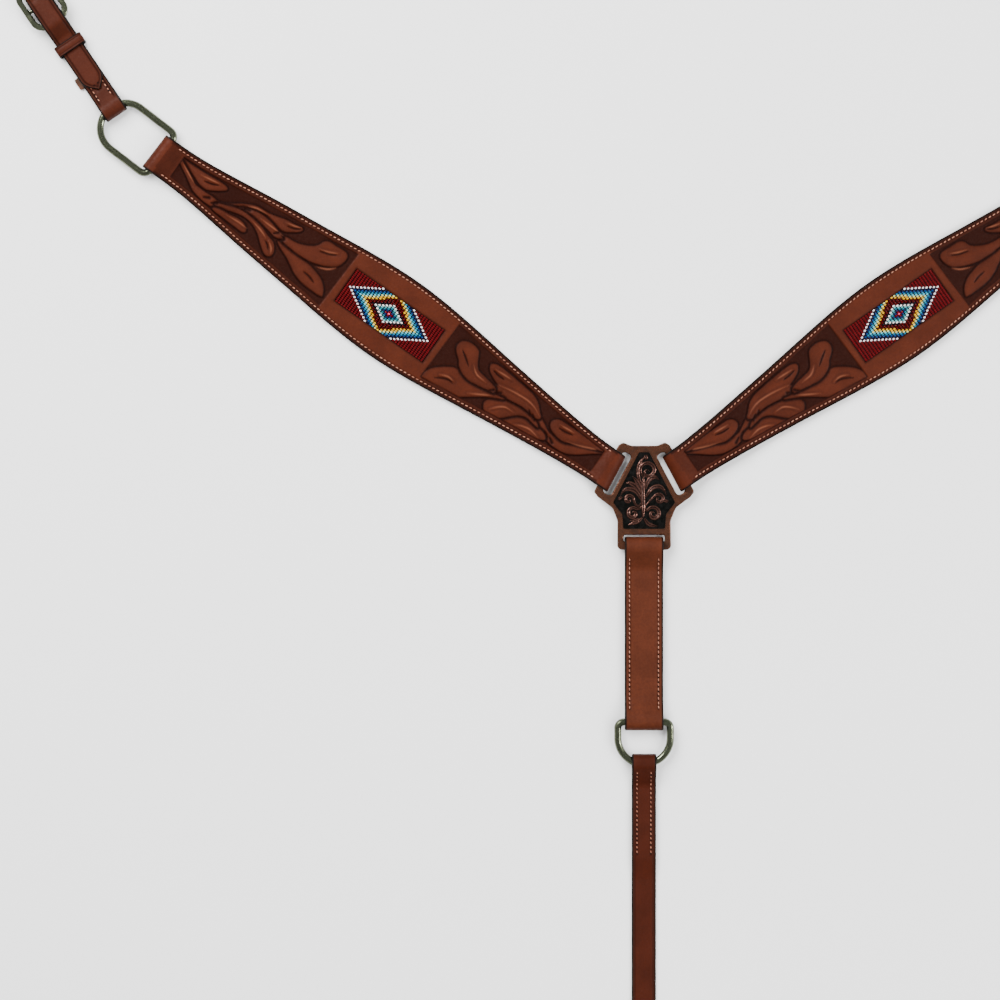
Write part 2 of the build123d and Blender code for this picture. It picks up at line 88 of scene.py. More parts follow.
def placed(strap_lay, along, across, up):
    """Places given along, across and above a strap, in mm, as points of the model, in metres."""
    (x, y), heading, hand = strap_lay
    c, s = math.cos(math.radians(heading)), math.sin(math.radians(heading))
    along, across, up = np.broadcast_arrays(along, np.asarray(across) * hand, up)
    return np.stack([x + c * along - s * across, y + s * along + c * across, up], -1) * MM


SIDES = ("left", "right")
wing_start, ring_start = hinge_point("right_wing_pivot"), hinge_point("right_ring_pivot")
wing_reach = ring_start - wing_start
WING_LENGTH = float(np.hypot(*wing_reach))
WING_HEADING = math.degrees(math.atan2(wing_reach[1], wing_reach[0]))
PLATE_SKEW = WING_HEADING - (square_to("right_wing_pivot") + 180) % 180
RING_SKEW = WING_HEADING - square_to("right_ring_pivot")
TUG_HEADING = (square_to("right_tug_pivot") + 180) % 180
wing_lay = {side: lay(wing_start, WING_HEADING, side) for side in SIDES}
tug_lay = {side: lay(hinge_point("right_tug_pivot"), TUG_HEADING, side) for side in SIDES}
drop_lay = lay(hinge_point("drop_strap_pivot"), -90)
girth_lay = lay(hinge_point("girth_strap_pivot"), -90)
DROP_LENGTH = float(hinge_point("drop_strap_pivot")[1] - hinge_point("dee_pivot")[1])
GIRTH_LENGTH = float(hinge_point("girth_strap_pivot")[1] - hinge_point("snap_eye_pivot")[1])
print("wing", round(WING_LENGTH, 1), "mm at", round(WING_HEADING, 2), "degrees")
print("plate skew", round(PLATE_SKEW, 2), "ring skew", round(RING_SKEW, 2), "tug heading", round(TUG_HEADING, 2))

# %% [markdown]
# ## The studio
# The collar lies face up on a pale table and is seen from straight above. Two large soft lights stand on
# either side of the camera and give the leather its colour. Two small ones make only highlights, which show
# the relief without greying the dark leather.

# %% Table, lights and camera
TABLE_HALF = 4.0
TABLE_DROP = 0.0005
SQUARE = ((-1, -1), (1, -1), (1, 1), (-1, 1))
LIGHTS_AIM = Vector((-0.05, 0.1, 0.0))
WORLD_STRENGTH = 0.3
CAMERA_OVER = (-0.0953, 0.1243)
CAMERA_FRAME = 0.663
LENS = 135.0


def plain_material(name, colour, roughness):
    """A material with one colour, for what is not part of the object."""
    material = bpy.data.materials.new(name)
    material.use_nodes = True
    shader = material.node_tree.nodes["Principled BSDF"]
    shader.inputs["Base Color"].default_value = (*colour, 1)
    shader.inputs["Roughness"].default_value = roughness
    return material


table_mesh = bpy.data.meshes.new("table")
table_corners = [(x * TABLE_HALF, y * TABLE_HALF, -TABLE_DROP) for x, y in SQUARE]
table_mesh.from_pydata(table_corners, [], [(0, 1, 2, 3)])
table = bpy.data.objects.new("table", table_mesh)
bpy.context.scene.collection.objects.link(table)
table_mesh.materials.append(plain_material("pale_table", (0.93, 0.93, 0.93), 0.9))


def soft_light(name, place, size, watts, gloss):
    """A square soft light that looks at the middle of the collar. With gloss it makes only highlights."""
    data = bpy.data.lights.new(name, "AREA")
    data.size, data.energy = size, watts
    light = bpy.data.objects.new(name, data)
    light.location = place
    light.visible_glossy, light.visible_diffuse = gloss, not gloss
    light.rotation_euler = (LIGHTS_AIM - light.location).to_track_quat("-Z", "Y").to_euler()
    bpy.context.scene.collection.objects.link(light)


soft_light("key_light", (-0.9, 1.1, 1.5), 1.5, 105, gloss=False)
soft_light("fill_light", (1.1, -0.4, 1.7), 1.7, 75, gloss=False)
soft_light("highlight", (-1.2, 1.3, 1.6), 0.6, 44, gloss=True)
soft_light("low_highlight", (1.3, 0.1, 0.75), 0.4, 20, gloss=True)
world = bpy.data.worlds.new("studio")
bpy.context.scene.world = world
world.use_nodes = True
backdrop = world.node_tree.nodes["Background"]
backdrop.inputs["Color"].default_value = (1, 1, 1, 1)
backdrop.inputs["Strength"].default_value = WORLD_STRENGTH

camera_data = bpy.data.cameras.new("camera")
camera_data.lens = LENS
camera = bpy.data.objects.new("camera", camera_data)
camera.location = (*CAMERA_OVER, CAMERA_FRAME * LENS / camera_data.sensor_width)
bpy.context.scene.collection.objects.link(camera)
bpy.context.scene.camera = camera
print("camera", round(camera.location.z, 3), "m above the table")

# %% [markdown]
# ## Node helpers
# A material is a graph of small nodes. These helpers add one node at a time and join it to the ones before,
# so that each material below reads like a recipe.

# %% Adding and joining nodes
def add_node(tree, kind, inputs=None, **settings):
    """A new node with its settings and inputs. An input is a value, or another node's output."""
    made = tree.nodes.new(kind)
    for name, value in settings.items():
        setattr(made, name, value)
    for name, value in (inputs or {}).items():
        if isinstance(value, bpy.types.NodeSocket):
            tree.links.new(value, made.inputs[name])
        else:
            made.inputs[name].default_value = value
    return made


def maths(tree, operation, first, second=0.0, clamp=False):
    """One step of arithmetic."""
    return add_node(
        tree, "ShaderNodeMath", {0: first, 1: second}, operation=operation, use_clamp=clamp
    ).outputs[0]


def mix_colours(tree, share, first, second):
    """Two colours mixed by a share from 0 to 1."""
    return add_node(tree, "ShaderNodeMix", {0: share, 6: first, 7: second}, data_type="RGBA").outputs[2]


def between(tree, value, low, high, first=0.0, last=1.0):
    """A value taken from one range to another and kept inside it."""
    return add_node(
        tree,
        "ShaderNodeMapRange",
        {"Value": value, "From Min": low, "From Max": high, "To Min": first, "To Max": last},
        interpolation_type="SMOOTHSTEP",
    ).outputs["Result"]


def attribute(tree, name):
    """A number kept on the piece's own vertices."""
    return add_node(tree, "ShaderNodeAttribute", attribute_name=name).outputs["Fac"]


def rgb(red, green, blue):
    """An ordinary screen colour, from 0 to 255, as the linear colour that shaders use."""
    linear = [((c / 255 + 0.055) / 1.055) ** 2.4 if c > 10 else c / 255 / 12.92 for c in (red, green, blue)]
    return (*linear, 1)


def darker(colour, share):
    """A colour with only a share of its light."""
    return tuple(share * c for c in colour[:3]) + (1,)


def new_group(name, inputs, outputs, kind="ShaderNodeTree"):
    """An empty group with named inputs and outputs, and its two end nodes."""
    group = bpy.data.node_groups.new(name, kind)
    for label, socket_kind, value in inputs:
        socket = group.interface.new_socket(label, in_out="INPUT", socket_type=socket_kind)
        if value is not None:
            socket.default_value = value
    for label, socket_kind in outputs:
        group.interface.new_socket(label, in_out="OUTPUT", socket_type=socket_kind)
    return group, group.nodes.new("NodeGroupInput"), group.nodes.new("NodeGroupOutput")


def use_group(tree, group, **inputs):
    """A group placed in a material with its own values."""
    values = {label.replace("_", " "): value for label, value in inputs.items()}
    return add_node(tree, "ShaderNodeGroup", values, node_tree=group)


FLOAT, GEOMETRY, MATERIAL = "NodeSocketFloat", "NodeSocketGeometry", "NodeSocketMaterial"

# %% [markdown]
# ## Leather grain
# Vegetable-tanned leather has fine pores, creases a little coarser, and cloudy patches where the dye took
# more or less. All leather pieces share one group, which gives a height for the bump and a tone.

# %% Group: leather grain
grain_group, grain_in, grain_out = new_group(
    "leather_grain",
    [("Pore Size", FLOAT, 0.6), ("Cloud Size", FLOAT, 14.0)],
    [("Height", FLOAT), ("Tone", FLOAT), ("Fine", FLOAT)],
)
where = add_node(grain_group, "ShaderNodeTexCoord").outputs["Object"]
pore_scale = maths(grain_group, "DIVIDE", 1000.0, grain_in.outputs["Pore Size"])
cloud_scale = maths(grain_group, "DIVIDE", 1000.0, grain_in.outputs["Cloud Size"])
crease_scale = maths(grain_group, "MULTIPLY", pore_scale, 0.35)
pores = add_node(
    grain_group, "ShaderNodeTexVoronoi", {"Vector": where, "Scale": pore_scale}
).outputs["Distance"]
creases = add_node(
    grain_group, "ShaderNodeTexNoise",
    {"Vector": where, "Scale": crease_scale, "Detail": 5.0, "Roughness": 0.65},
).outputs["Fac"]
clouds = add_node(
    grain_group, "ShaderNodeTexNoise", {"Vector": where, "Scale": cloud_scale, "Detail": 3.0}
).outputs["Fac"]
grain_group.links.new(
    maths(grain_group, "ADD", maths(grain_group, "MULTIPLY", pores, 0.45), creases), grain_out.inputs["Height"]
)
grain_group.links.new(between(grain_group, clouds, 0.3, 0.7), grain_out.inputs["Tone"])
grain_group.links.new(between(grain_group, creases, 0.35, 0.65), grain_out.inputs["Fine"])
print("group", grain_group.name)

# %% [markdown]
# ## Stitch holes
# Between two stitches the thread dives into an awl hole. The holes are too small to be cut into the mesh, so
# a group draws them from two numbers kept on each strap: how far along it, and how far from its edge.

# %% Group: awl holes
hole_group, hole_in, hole_out = new_group(
    "awl_holes",
    [
        ("Along", FLOAT, 0.0), ("From Edge", FLOAT, 0.0), ("Pitch", FLOAT, 3.08), ("Inset", FLOAT, 3.0),
        ("First", FLOAT, 0.0), ("Last", FLOAT, 1000.0),
    ],
    [("Hole", FLOAT), ("Channel", FLOAT)],
)
from_first = maths(hole_group, "SUBTRACT", hole_in.outputs["Along"], hole_in.outputs["First"])
phase = maths(hole_group, "DIVIDE", from_first, hole_in.outputs["Pitch"])
off_hole = maths(hole_group, "SUBTRACT", maths(hole_group, "FRACT", phase), 0.5)
off_hole = maths(hole_group, "MULTIPLY", off_hole, hole_in.outputs["Pitch"])
off_row = maths(hole_group, "SUBTRACT", hole_in.outputs["From Edge"], hole_in.outputs["Inset"])
hole_distance = maths(
    hole_group, "SQRT",
    maths(hole_group, "ADD", maths(hole_group, "POWER", off_hole, 2.0), maths(hole_group, "POWER", off_row, 2.0)),
)
in_row = maths(
    hole_group, "MULTIPLY",
    maths(hole_group, "GREATER_THAN", hole_in.outputs["Along"], hole_in.outputs["First"]),
    maths(hole_group, "LESS_THAN", hole_in.outputs["Along"], hole_in.outputs["Last"]),
)
hole = maths(hole_group, "MULTIPLY", between(hole_group, hole_distance, 0.35, 0.62, 1.0, 0.0), in_row)
beside_row = maths(hole_group, "ABSOLUTE", off_row)
channel = maths(hole_group, "MULTIPLY", between(hole_group, beside_row, 0.3, 1.3, 1.0, 0.0), in_row)
hole_group.links.new(hole, hole_out.inputs["Hole"])
hole_group.links.new(channel, hole_out.inputs["Channel"])
print("group", hole_group.name)

# %% [markdown]
# ## Worn metal
# Cast copper and nickel take a cloudy tarnish and polish bright where they rub. One group gives a cloudy
# patina mask, fine scratches and how far a surface faces up; each metal darkens what faces sideways with
# painted shade and sets its own colours.

# %% Group: worn metal
metal_group, metal_in, metal_out = new_group(
    "worn_metal", [("Patch Size", FLOAT, 6.0)], [("Patina", FLOAT), ("Scratches", FLOAT), ("Facing Up", FLOAT)]
)
metal_where = add_node(metal_group, "ShaderNodeTexCoord")
patches = add_node(
    metal_group, "ShaderNodeTexNoise",
    {
        "Vector": metal_where.outputs["Object"], "Detail": 6.0, "Roughness": 0.6,
        "Scale": maths(metal_group, "DIVIDE", 1000.0, metal_in.outputs["Patch Size"]),
    },
).outputs["Fac"]
scratches = add_node(
    metal_group, "ShaderNodeTexNoise",
    {
        "Vector": add_node(metal_group, "ShaderNodeMapping",
                           {"Vector": metal_where.outputs["Object"], "Scale": (1, 0.15, 1)}).outputs["Vector"],
        "Scale": 2200.0, "Detail": 3.0,
    },
).outputs["Fac"]
upright = add_node(metal_group, "ShaderNodeSeparateXYZ", {0: metal_where.outputs["Normal"]}).outputs["Z"]
metal_group.links.new(between(metal_group, patches, 0.35, 0.7), metal_out.inputs["Patina"])
metal_group.links.new(between(metal_group, scratches, 0.4, 0.7), metal_out.inputs["Scratches"])
metal_group.links.new(between(metal_group, upright, 0.0, 0.9), metal_out.inputs["Facing Up"])
print("group", metal_group.name)


def new_material(name):
    """A material, its tree and its main shader."""
    material = bpy.data.materials.new(name)
    material.use_nodes = True
    return material, material.node_tree, material.node_tree.nodes["Principled BSDF"]


def bump(tree, height, depth_mm):
    """A bump of a real depth, for the shader's normal."""
    return add_node(
        tree, "ShaderNodeBump", {"Height": height, "Distance": depth_mm * MM, "Strength": 1.0}
    ).outputs["Normal"]


def grained_finish(name, pore_size, cloud_size, mask, light, dark, roughness, depth_mm):
    """A plain leather, cloth or thread: two colours mixed by its grain, one roughness and a fine bump."""
    material, tree, shader = new_material(name)
    grain = use_group(tree, grain_group, Pore_Size=pore_size, Cloud_Size=cloud_size)
    tree.links.new(mix_colours(tree, grain.outputs[mask], light, dark), shader.inputs["Base Color"])
    shader.inputs["Roughness"].default_value = roughness
    tree.links.new(bump(tree, grain.outputs["Height"], depth_mm), shader.inputs["Normal"])
    return material


# %% [markdown]
# ## The leather finishes
# The carved face is medium brown with dark dye rubbed into its hollows and painted shade beside its leaves and
# ridges and at the window's lip, so its colour follows four numbers that the mesh carries: dye with painted shade,
# wear with painted highlight, distance from the edge, and whether the flesh side shows.
# The edges of every strap are burnished nearly black.

# %% Materials: leathers
BROWN = rgb(66, 27, 14)
DEEP_BROWN = rgb(42, 14, 7)
DYE_AND_SHADE_DARK = rgb(20, 3, 1)
HIGHLIGHT_AND_WEAR_TAN = rgb(118, 70, 50)
BURNISHED = rgb(6, 4, 3)
FLESH = rgb(66, 46, 34)


def leather_finish(name, pitch, inset, first, last, brown=BROWN):
    """A dyed strap leather with stitch holes and burnished edges."""
    material, tree, shader = new_material(name)
    grain = use_group(tree, grain_group)
    edge, dye, worn = attribute(tree, "from_edge"), attribute(tree, "dye"), attribute(tree, "worn")
    holes = use_group(
        tree, hole_group, Along=attribute(tree, "run"), From_Edge=edge, Pitch=pitch, Inset=inset,
        First=first, Last=last,
    )
    tone = mix_colours(tree, grain.outputs["Tone"], brown, darker(brown, 0.78))
    tone = mix_colours(tree, maths(tree, "MULTIPLY", grain.outputs["Fine"], 0.25), tone, DEEP_BROWN)
    # Real dye and painted shade, carried together on the mesh, darken the leather.
    dyed_and_shaded = mix_colours(tree, dye, tone, DYE_AND_SHADE_DARK)
    # A painted highlight lightens the carved ridges, and plain straps get a faint paler band near each edge.
    dyed_and_shaded = mix_colours(tree, maths(tree, "MULTIPLY", worn, 0.5, clamp=True), dyed_and_shaded, HIGHLIGHT_AND_WEAR_TAN)
    dyed_and_shaded = mix_colours(tree, maths(tree, "MULTIPLY", holes.outputs["Channel"], 0.35), dyed_and_shaded, DYE_AND_SHADE_DARK)
    # Each awl hole is painted near black as the shade inside it.
    dyed_and_shaded = mix_colours(tree, holes.outputs["Hole"], dyed_and_shaded, rgb(8, 3, 2))
    dyed_and_shaded = mix_colours(tree, between(tree, edge, 0.4, 1.8, 1.0, 0.0), dyed_and_shaded, BURNISHED)
    flesh_tone = mix_colours(tree, grain.outputs["Fine"], FLESH, darker(FLESH, 0.7))
    both_sides = mix_colours(tree, attribute(tree, "flesh"), dyed_and_shaded, flesh_tone)
    tree.links.new(both_sides, shader.inputs["Base Color"])
    roughness = between(tree, grain.outputs["Fine"], 0.0, 1.0, 0.42, 0.58)
    roughness = maths(tree, "ADD", roughness, maths(tree, "MULTIPLY", dye, 0.2))
    tree.links.new(roughness, shader.inputs["Roughness"])
    shader.inputs["Specular IOR Level"].default_value = 0.1
    matting = add_node(
        tree, "ShaderNodeTexVoronoi",
        {"Vector": add_node(tree, "ShaderNodeTexCoord").outputs["Object"], "Scale": 1400.0},
    ).outputs["Distance"]
    sunk_holes = maths(tree, "MULTIPLY", holes.outputs["Hole"], 3.5)
    matting = maths(tree, "MULTIPLY", maths(tree, "MULTIPLY", matting, dye), 1.6)
    height = maths(tree, "SUBTRACT", maths(tree, "SUBTRACT", grain.outputs["Height"], sunk_holes), matting)
    tree.links.new(bump(tree, height, 0.12), shader.inputs["Normal"])
    return material


STITCH_PITCH = 3.08
STITCH_INSET = 3.0
FIRST_STITCH = 7.0
LAST_STITCH = 354.5
DROP_PITCH = 3.0
NARROW_PITCH = 2.9
wing_leather = leather_finish("wing_leather", STITCH_PITCH, STITCH_INSET, FIRST_STITCH, LAST_STITCH)
strap_leather = leather_finish("strap_leather", DROP_PITCH, 3.2, 8.0, DROP_LENGTH - 8.0, rgb(72, 34, 20))
girth_leather = leather_finish("girth_leather", NARROW_PITCH, 3.4, 7.0, 62.0, rgb(56, 21, 10))
tug_leather = leather_finish("tug_leather", NARROW_PITCH, 3.4, 9.5, 20.0, rgb(58, 24, 13))
tab_leather = grained_finish("tab_leather", 0.8, 6.0, "Tone", rgb(80, 48, 30), rgb(60, 34, 20), 0.75, 0.12)

lining_leather, lining_tree, lining_shader = new_material("lining_leather")
lining_grain = use_group(lining_tree, grain_group, Pore_Size=0.9, Cloud_Size=22.0)
lining_way = add_node(lining_tree, "ShaderNodeTexCoord").outputs["Normal"]
lining_up = add_node(lining_tree, "ShaderNodeSeparateXYZ", {0: lining_way}).outputs["Z"]
lining_edge = between(lining_tree, maths(lining_tree, "ABSOLUTE", lining_up), 0.5, 0.9, 1.0, 0.0)
lining_tone = mix_colours(lining_tree, lining_grain.outputs["Tone"], rgb(66, 46, 34), rgb(48, 31, 22))
lining_dark = maths(lining_tree, "MULTIPLY", lining_grain.outputs["Fine"], 0.4)
lining_tone = mix_colours(lining_tree, lining_dark, lining_tone, rgb(32, 19, 12))
lining_tone = mix_colours(lining_tree, lining_edge, lining_tone, BURNISHED)
lining_tree.links.new(lining_tone, lining_shader.inputs["Base Color"])
lining_shader.inputs["Roughness"].default_value = 0.8
lining_tree.links.new(bump(lining_tree, lining_grain.outputs["Height"], 0.2), lining_shader.inputs["Normal"])

# %% [markdown]
# ## The metals, the enamel and the backing
# The plate is cast copper, browned with age. Rings, buckles and snap are nickel with a grey-green tarnish.

# %% Materials: metals
def metal_finish(name, bright, tarnished, hollow, patch_size, roughness, metallic, pitting=0.05):
    """A cast metal with a cloudy tarnish, and painted shade on its sides and in the grooves its mesh marks."""
    material, tree, shader = new_material(name)
    wear = use_group(tree, metal_group, Patch_Size=patch_size)
    colour = mix_colours(tree, wear.outputs["Patina"], bright, tarnished)
    # Painted shade darkens what faces sideways.
    side_shade = maths(tree, "SUBTRACT", 1.0, wear.outputs["Facing Up"], clamp=True)
    colour = mix_colours(tree, side_shade, colour, hollow)
    colour = mix_colours(tree, maths(tree, "MULTIPLY", wear.outputs["Scratches"], 0.25), colour, bright)
    # Painted shade also darkens where the mesh marks it, such as the scrolls' grooves and feet.
    colour = mix_colours(tree, attribute(tree, "dye"), colour, hollow)
    tree.links.new(colour, shader.inputs["Base Color"])
    dulled = between(tree, wear.outputs["Patina"], 0.0, 1.0, roughness - 0.08, roughness + 0.14)
    tree.links.new(dulled, shader.inputs["Roughness"])
    shader.inputs["Metallic"].default_value = metallic
    relief = maths(tree, "ADD", wear.outputs["Patina"], maths(tree, "MULTIPLY", wear.outputs["Scratches"], 0.4))
    tree.links.new(bump(tree, relief, pitting), shader.inputs["Normal"])
    return material


antique_copper = metal_finish(
    "antique_copper", rgb(96, 60, 44), rgb(60, 39, 29), rgb(24, 14, 10), 5.0, 0.33, 0.75
)
scroll_copper = metal_finish(
    "scroll_copper", rgb(112, 76, 66), rgb(70, 44, 38), rgb(16, 9, 7), 3.0, 0.26, 0.8
)
antique_nickel = metal_finish(
    "antique_nickel", rgb(114, 120, 98), rgb(74, 78, 60), rgb(32, 34, 26), 7.0, 0.22, 0.95, pitting=0.004
)
spring_steel = metal_finish(
    "spring_steel", rgb(150, 150, 146), rgb(110, 110, 106), rgb(50, 50, 48), 3.0, 0.25, 1.0
)

black_enamel, enamel_tree, enamel_shader = new_material("black_enamel")
enamel_wear = use_group(enamel_tree, metal_group, Patch_Size=3.0)
patina = enamel_wear.outputs["Patina"]
enamel_colour = mix_colours(enamel_tree, patina, rgb(2, 3, 2), rgb(6, 5, 4))
enamel_tree.links.new(enamel_colour, enamel_shader.inputs["Base Color"])
enamel_tree.links.new(between(enamel_tree, patina, 0.0, 1.0, 0.25, 0.5), enamel_shader.inputs["Roughness"])
enamel_shader.inputs["Specular IOR Level"].default_value = 0.2
enamel_tree.links.new(bump(enamel_tree, patina, 0.08), enamel_shader.inputs["Normal"])

backing_cloth = grained_finish(
    "bead_backing_cloth", 0.5, 5.0, "Fine", rgb(30, 1, 2), rgb(14, 1, 1), 0.9, 0.1
)
print("materials", len(bpy.data.materials))

# %% [markdown]
# ## Following a strap round its folds
# Seen from its edge, every strap is one line: straight stretches joined by bends, where it folds round a bar.
# This helper rounds each corner of such a line and gives evenly spaced stations with their outward directions.

# %% Stations along a folded strap
TURN_STEP = 14.0


def rounded_run(run):
    """The line of a strap with its corners rounded and its straight stretches left whole."""
    points = [np.array(p[:2], float) for p in run]
    path = [points[0]]
    for before, here, after, bend in zip(points, points[1:], points[2:], [p[2] for p in run[1:-1]]):
        into, away = here - before, after - here
        into, away = into / np.hypot(*into), away / np.hypot(*away)
        turn = math.atan2(into[0] * away[1] - into[1] * away[0], float(into @ away))
        if abs(turn) < 1e-3:
            path.append(here)
            continue
        setback = bend * math.tan(abs(turn) / 2)
        first = here - into * setback
        middle = first + np.array([-into[1], into[0]]) * math.copysign(bend, turn)
        arm = first - middle
        steps = max(2, math.ceil(math.degrees(abs(turn)) / TURN_STEP))
        for k in range(steps + 1):
            c, s = math.cos(turn * k / steps), math.sin(turn * k / steps)
            path.append(middle + np.array([c * arm[0] - s * arm[1], s * arm[0] + c * arm[1]]))
    path.append(points[-1])
    return np.array(path)


def stations(path, spacing, outward=1):
    """Points along a path, as close together as spacing asks, with their outward directions and headings."""
    run = np.concatenate([[0], np.cumsum(np.hypot(*np.diff(path, axis=0).T))])
    keep = np.concatenate([[True], np.diff(run) > 1e-6])
    run, path = run[keep], path[keep]
    fine = np.linspace(0, run[-1], max(50, int(run[-1] / 0.1)))
    line = np.stack([np.interp(fine, run, path[:, k]) for k in (0, 1)], -1)
    heading = np.gradient(line, axis=0)
    heading /= np.hypot(*heading.T)[:, None]
    need = np.concatenate([[0], np.cumsum(np.diff(fine) / spacing(line[1:, 0], heading[1:, 0]))])
    count = int(math.ceil(need[-1]))
    at = np.interp(np.linspace(0, need[-1], count + 1), need, fine)
    place = np.stack([np.interp(at, fine, line[:, k]) for k in (0, 1)], -1)
    way = np.stack([np.interp(at, fine, heading[:, k]) for k in (0, 1)], -1)
    way /= np.hypot(*way.T)[:, None]
    return place, np.stack([-way[:, 1], way[:, 0]], -1) * outward, way


# %% [markdown]
# ## One closed skin for a strap
# A strap is a skin round those stations: a loop of points across its face, round the burnished edges and back
# along the underside, drawn from station to station. The face may sink by a relief in mm. Every vertex also
# keeps the numbers that the leather materials read.

# %% Building a strap's skin
EDGE_ROUND = 0.75
UNDER_ROUND = EDGE_ROUND * 0.4
BACK_COLUMNS = 5
ROUND_STEPS = (30, 60, 90)
FACE_WAY = 0.2
BAND_SHARE = 0.27
NARROW_SHARE = 0.475


def finished_object(name, points, faces, numbers, material):
    """A closed mesh with outward faces, its vertex numbers and one material, as an object at the origin."""
    mesh = bpy.data.meshes.new(name)
    mesh.from_pydata(points.tolist(), [], faces)
    for label, values in numbers.items():
        mesh.attributes.new(label, "FLOAT", "POINT").data.foreach_set("value", np.asarray(values, np.float32))
    shell = bmesh.new()
    shell.from_mesh(mesh)
    bmesh.ops.recalc_face_normals(shell, faces=shell.faces)
    shell.to_mesh(mesh)
    shell.free()
    mesh.shade_smooth()
    mesh.set_sharp_from_angle(angle=math.radians(50))
    mesh.materials.append(material)
    made = bpy.data.objects.new(name, mesh)
    bpy.context.scene.collection.objects.link(made)
    print(name, len(mesh.vertices), "vertices")
    return made


def strap_skin(name, strap_lay, place, out, way, half, thickness, columns, material, relief,
               shear=None, window=None, face_side=1):
    """A strap's closed skin. place, out and way are its stations, half its half width at each.

    A window is given as its first and last station and its half width.
    """
    rows = len(place)
    half = np.broadcast_to(half, rows)
    top = thickness / 2
    face_reach, back_reach = (half - EDGE_ROUND)[:, None], (half - UNDER_ROUND)[:, None]
    if window is None:
        flat = face_reach * np.linspace(-1, 1, columns)
        back = back_reach * np.linspace(1, -1, BACK_COLUMNS)
    else:
        first_row, last_row, window_half = window
        band = int(columns * BAND_SHARE)
        band_edge = np.minimum(window_half, NARROW_SHARE * half)[:, None]
        beside = band_edge + (face_reach - band_edge) * np.linspace(0, 1, band + 1)[1:]
        flat = np.hstack([-beside[:, ::-1], band_edge * np.linspace(-1, 1, columns - 2 * band), beside])
        back = np.hstack([back_reach, band_edge, -band_edge, -back_reach])
    turned = [math.radians(step) for step in ROUND_STEPS]
    edge = np.stack([half - EDGE_ROUND + EDGE_ROUND * math.sin(a) for a in turned] + [half], -1)
    edge_rise = [top - EDGE_ROUND + EDGE_ROUND * math.cos(a) for a in turned] + [UNDER_ROUND - top]
    across = np.hstack([flat, edge, back, -edge[:, ::-1]])
    rise = np.tile([top] * columns + edge_rise + [-top] * back.shape[1] + edge_rise[::-1], (rows, 1))
    loop = across.shape[1]
    along = np.repeat(place[:, :1], loop, 1)
    if shear is not None:
        along = along + shear(along) * across
    back_first = columns + len(ROUND_STEPS) + 1
    underside = slice(back_first, back_first + back.shape[1])
    numbers = {
        "from_edge": np.where(np.arange(loop) < columns, half[:, None] - np.abs(across), 0.0),
        "run": along.copy(),
        "dye": np.zeros_like(along),
        "worn": np.zeros_like(along),
        "flesh": np.zeros_like(along),
    }
    numbers["flesh"][:, underside] = 1
    numbers["from_edge"][:, underside] = half[:, None] - np.abs(back)
    face = np.ix_(np.where(way[:, 0] * face_side > FACE_WAY)[0], np.arange(columns))
    depth, dye, worn = relief(along[face], across[face], numbers["from_edge"][face])
    rise[face] += depth
    numbers["dye"][face] = dye
    numbers["worn"][face] = worn
    points = placed(strap_lay, along + out[:, :1] * rise, across, place[:, 1:] + out[:, 1:] * rise)
    quads, opened = [], set()
    if window is not None:
        opened = {*range(band, columns - band - 1), back_first + 1}
    for i in range(rows - 1):
        for j in range(loop):
            if j in opened and first_row <= i < last_row:
                continue
            k = (j + 1) % loop
            quads.append((i * loop + j, (i + 1) * loop + j, (i + 1) * loop + k, i * loop + k))
    quads.append(tuple(range(loop)))
    quads.append(tuple((rows - 1) * loop + j for j in range(loop)))
    if window is not None:
        high, low = columns - band - 1, band
        under_high, under_low = back_first + 1, back_first + 2
        for i in range(first_row, last_row):
            for face, under in ((high, under_high), (low, under_low)):
                quads.append((i * loop + face, (i + 1) * loop + face, (i + 1) * loop + under, i * loop + under))
        for i in (first_row, last_row):
            quads.append(tuple(i * loop + j for j in (*range(low, high + 1), under_high, under_low)))
    numbers = {label: values.reshape(-1) for label, values in numbers.items()}
    return finished_object(name, points.reshape(-1, 3), quads, numbers, material)


# %% [markdown]
# ## The outline of a wing
# The wing swells from a narrow end at the plate to its widest at the beaded window and narrows again to the
# ring. A smooth curve through a few half widths gives the width at any place.

# %% Half width of a wing
WING_END_HALF = 13.1
WING_END_REACH = 11.2
WING_OUTLINE = (
    (18, 13.8), (54, 17.1), (98, 22.2), (143, 27.5), (172, 29.2), (202, 28.1), (246, 23.7), (291, 19.0),
    (335, 14.0),
)


def smooth_curve(places, values):
    """A smooth curve through values, level at both ends."""
    x, y = np.array(places, float), np.array(values, float)
    gap, rise = np.diff(x), np.diff(y)
    count = len(x)
    system, right = np.eye(count), np.zeros(count)
    for i in range(1, count - 1):
        system[i, i - 1:i + 2] = 1 / gap[i - 1], 2 / gap[i - 1] + 2 / gap[i], 1 / gap[i]
        right[i] = 3 * (rise[i - 1] / gap[i - 1] ** 2 + rise[i] / gap[i] ** 2)
    slope = np.linalg.solve(system, right)

    def curve(at):
        at = np.clip(at, x[0], x[-1])
        i = np.clip(np.searchsorted(x, at) - 1, 0, count - 2)
        t = (at - x[i]) / gap[i]
        return (
            y[i] * (1 + 2 * t) * (1 - t) ** 2 + slope[i] * gap[i] * t * (1 - t) ** 2
            + y[i + 1] * t * t * (3 - 2 * t) + slope[i + 1] * gap[i] * t * t * (t - 1)
        )

    return curve


wing_half = smooth_curve(
    [-WING_END_REACH, *[p for p, _ in WING_OUTLINE], WING_LENGTH + WING_END_REACH],
    [WING_END_HALF, *[h for _, h in WING_OUTLINE], WING_END_HALF],
)
print("widest", round(float(wing_half(np.arange(0, 360)).max()) * 2, 1), "mm")
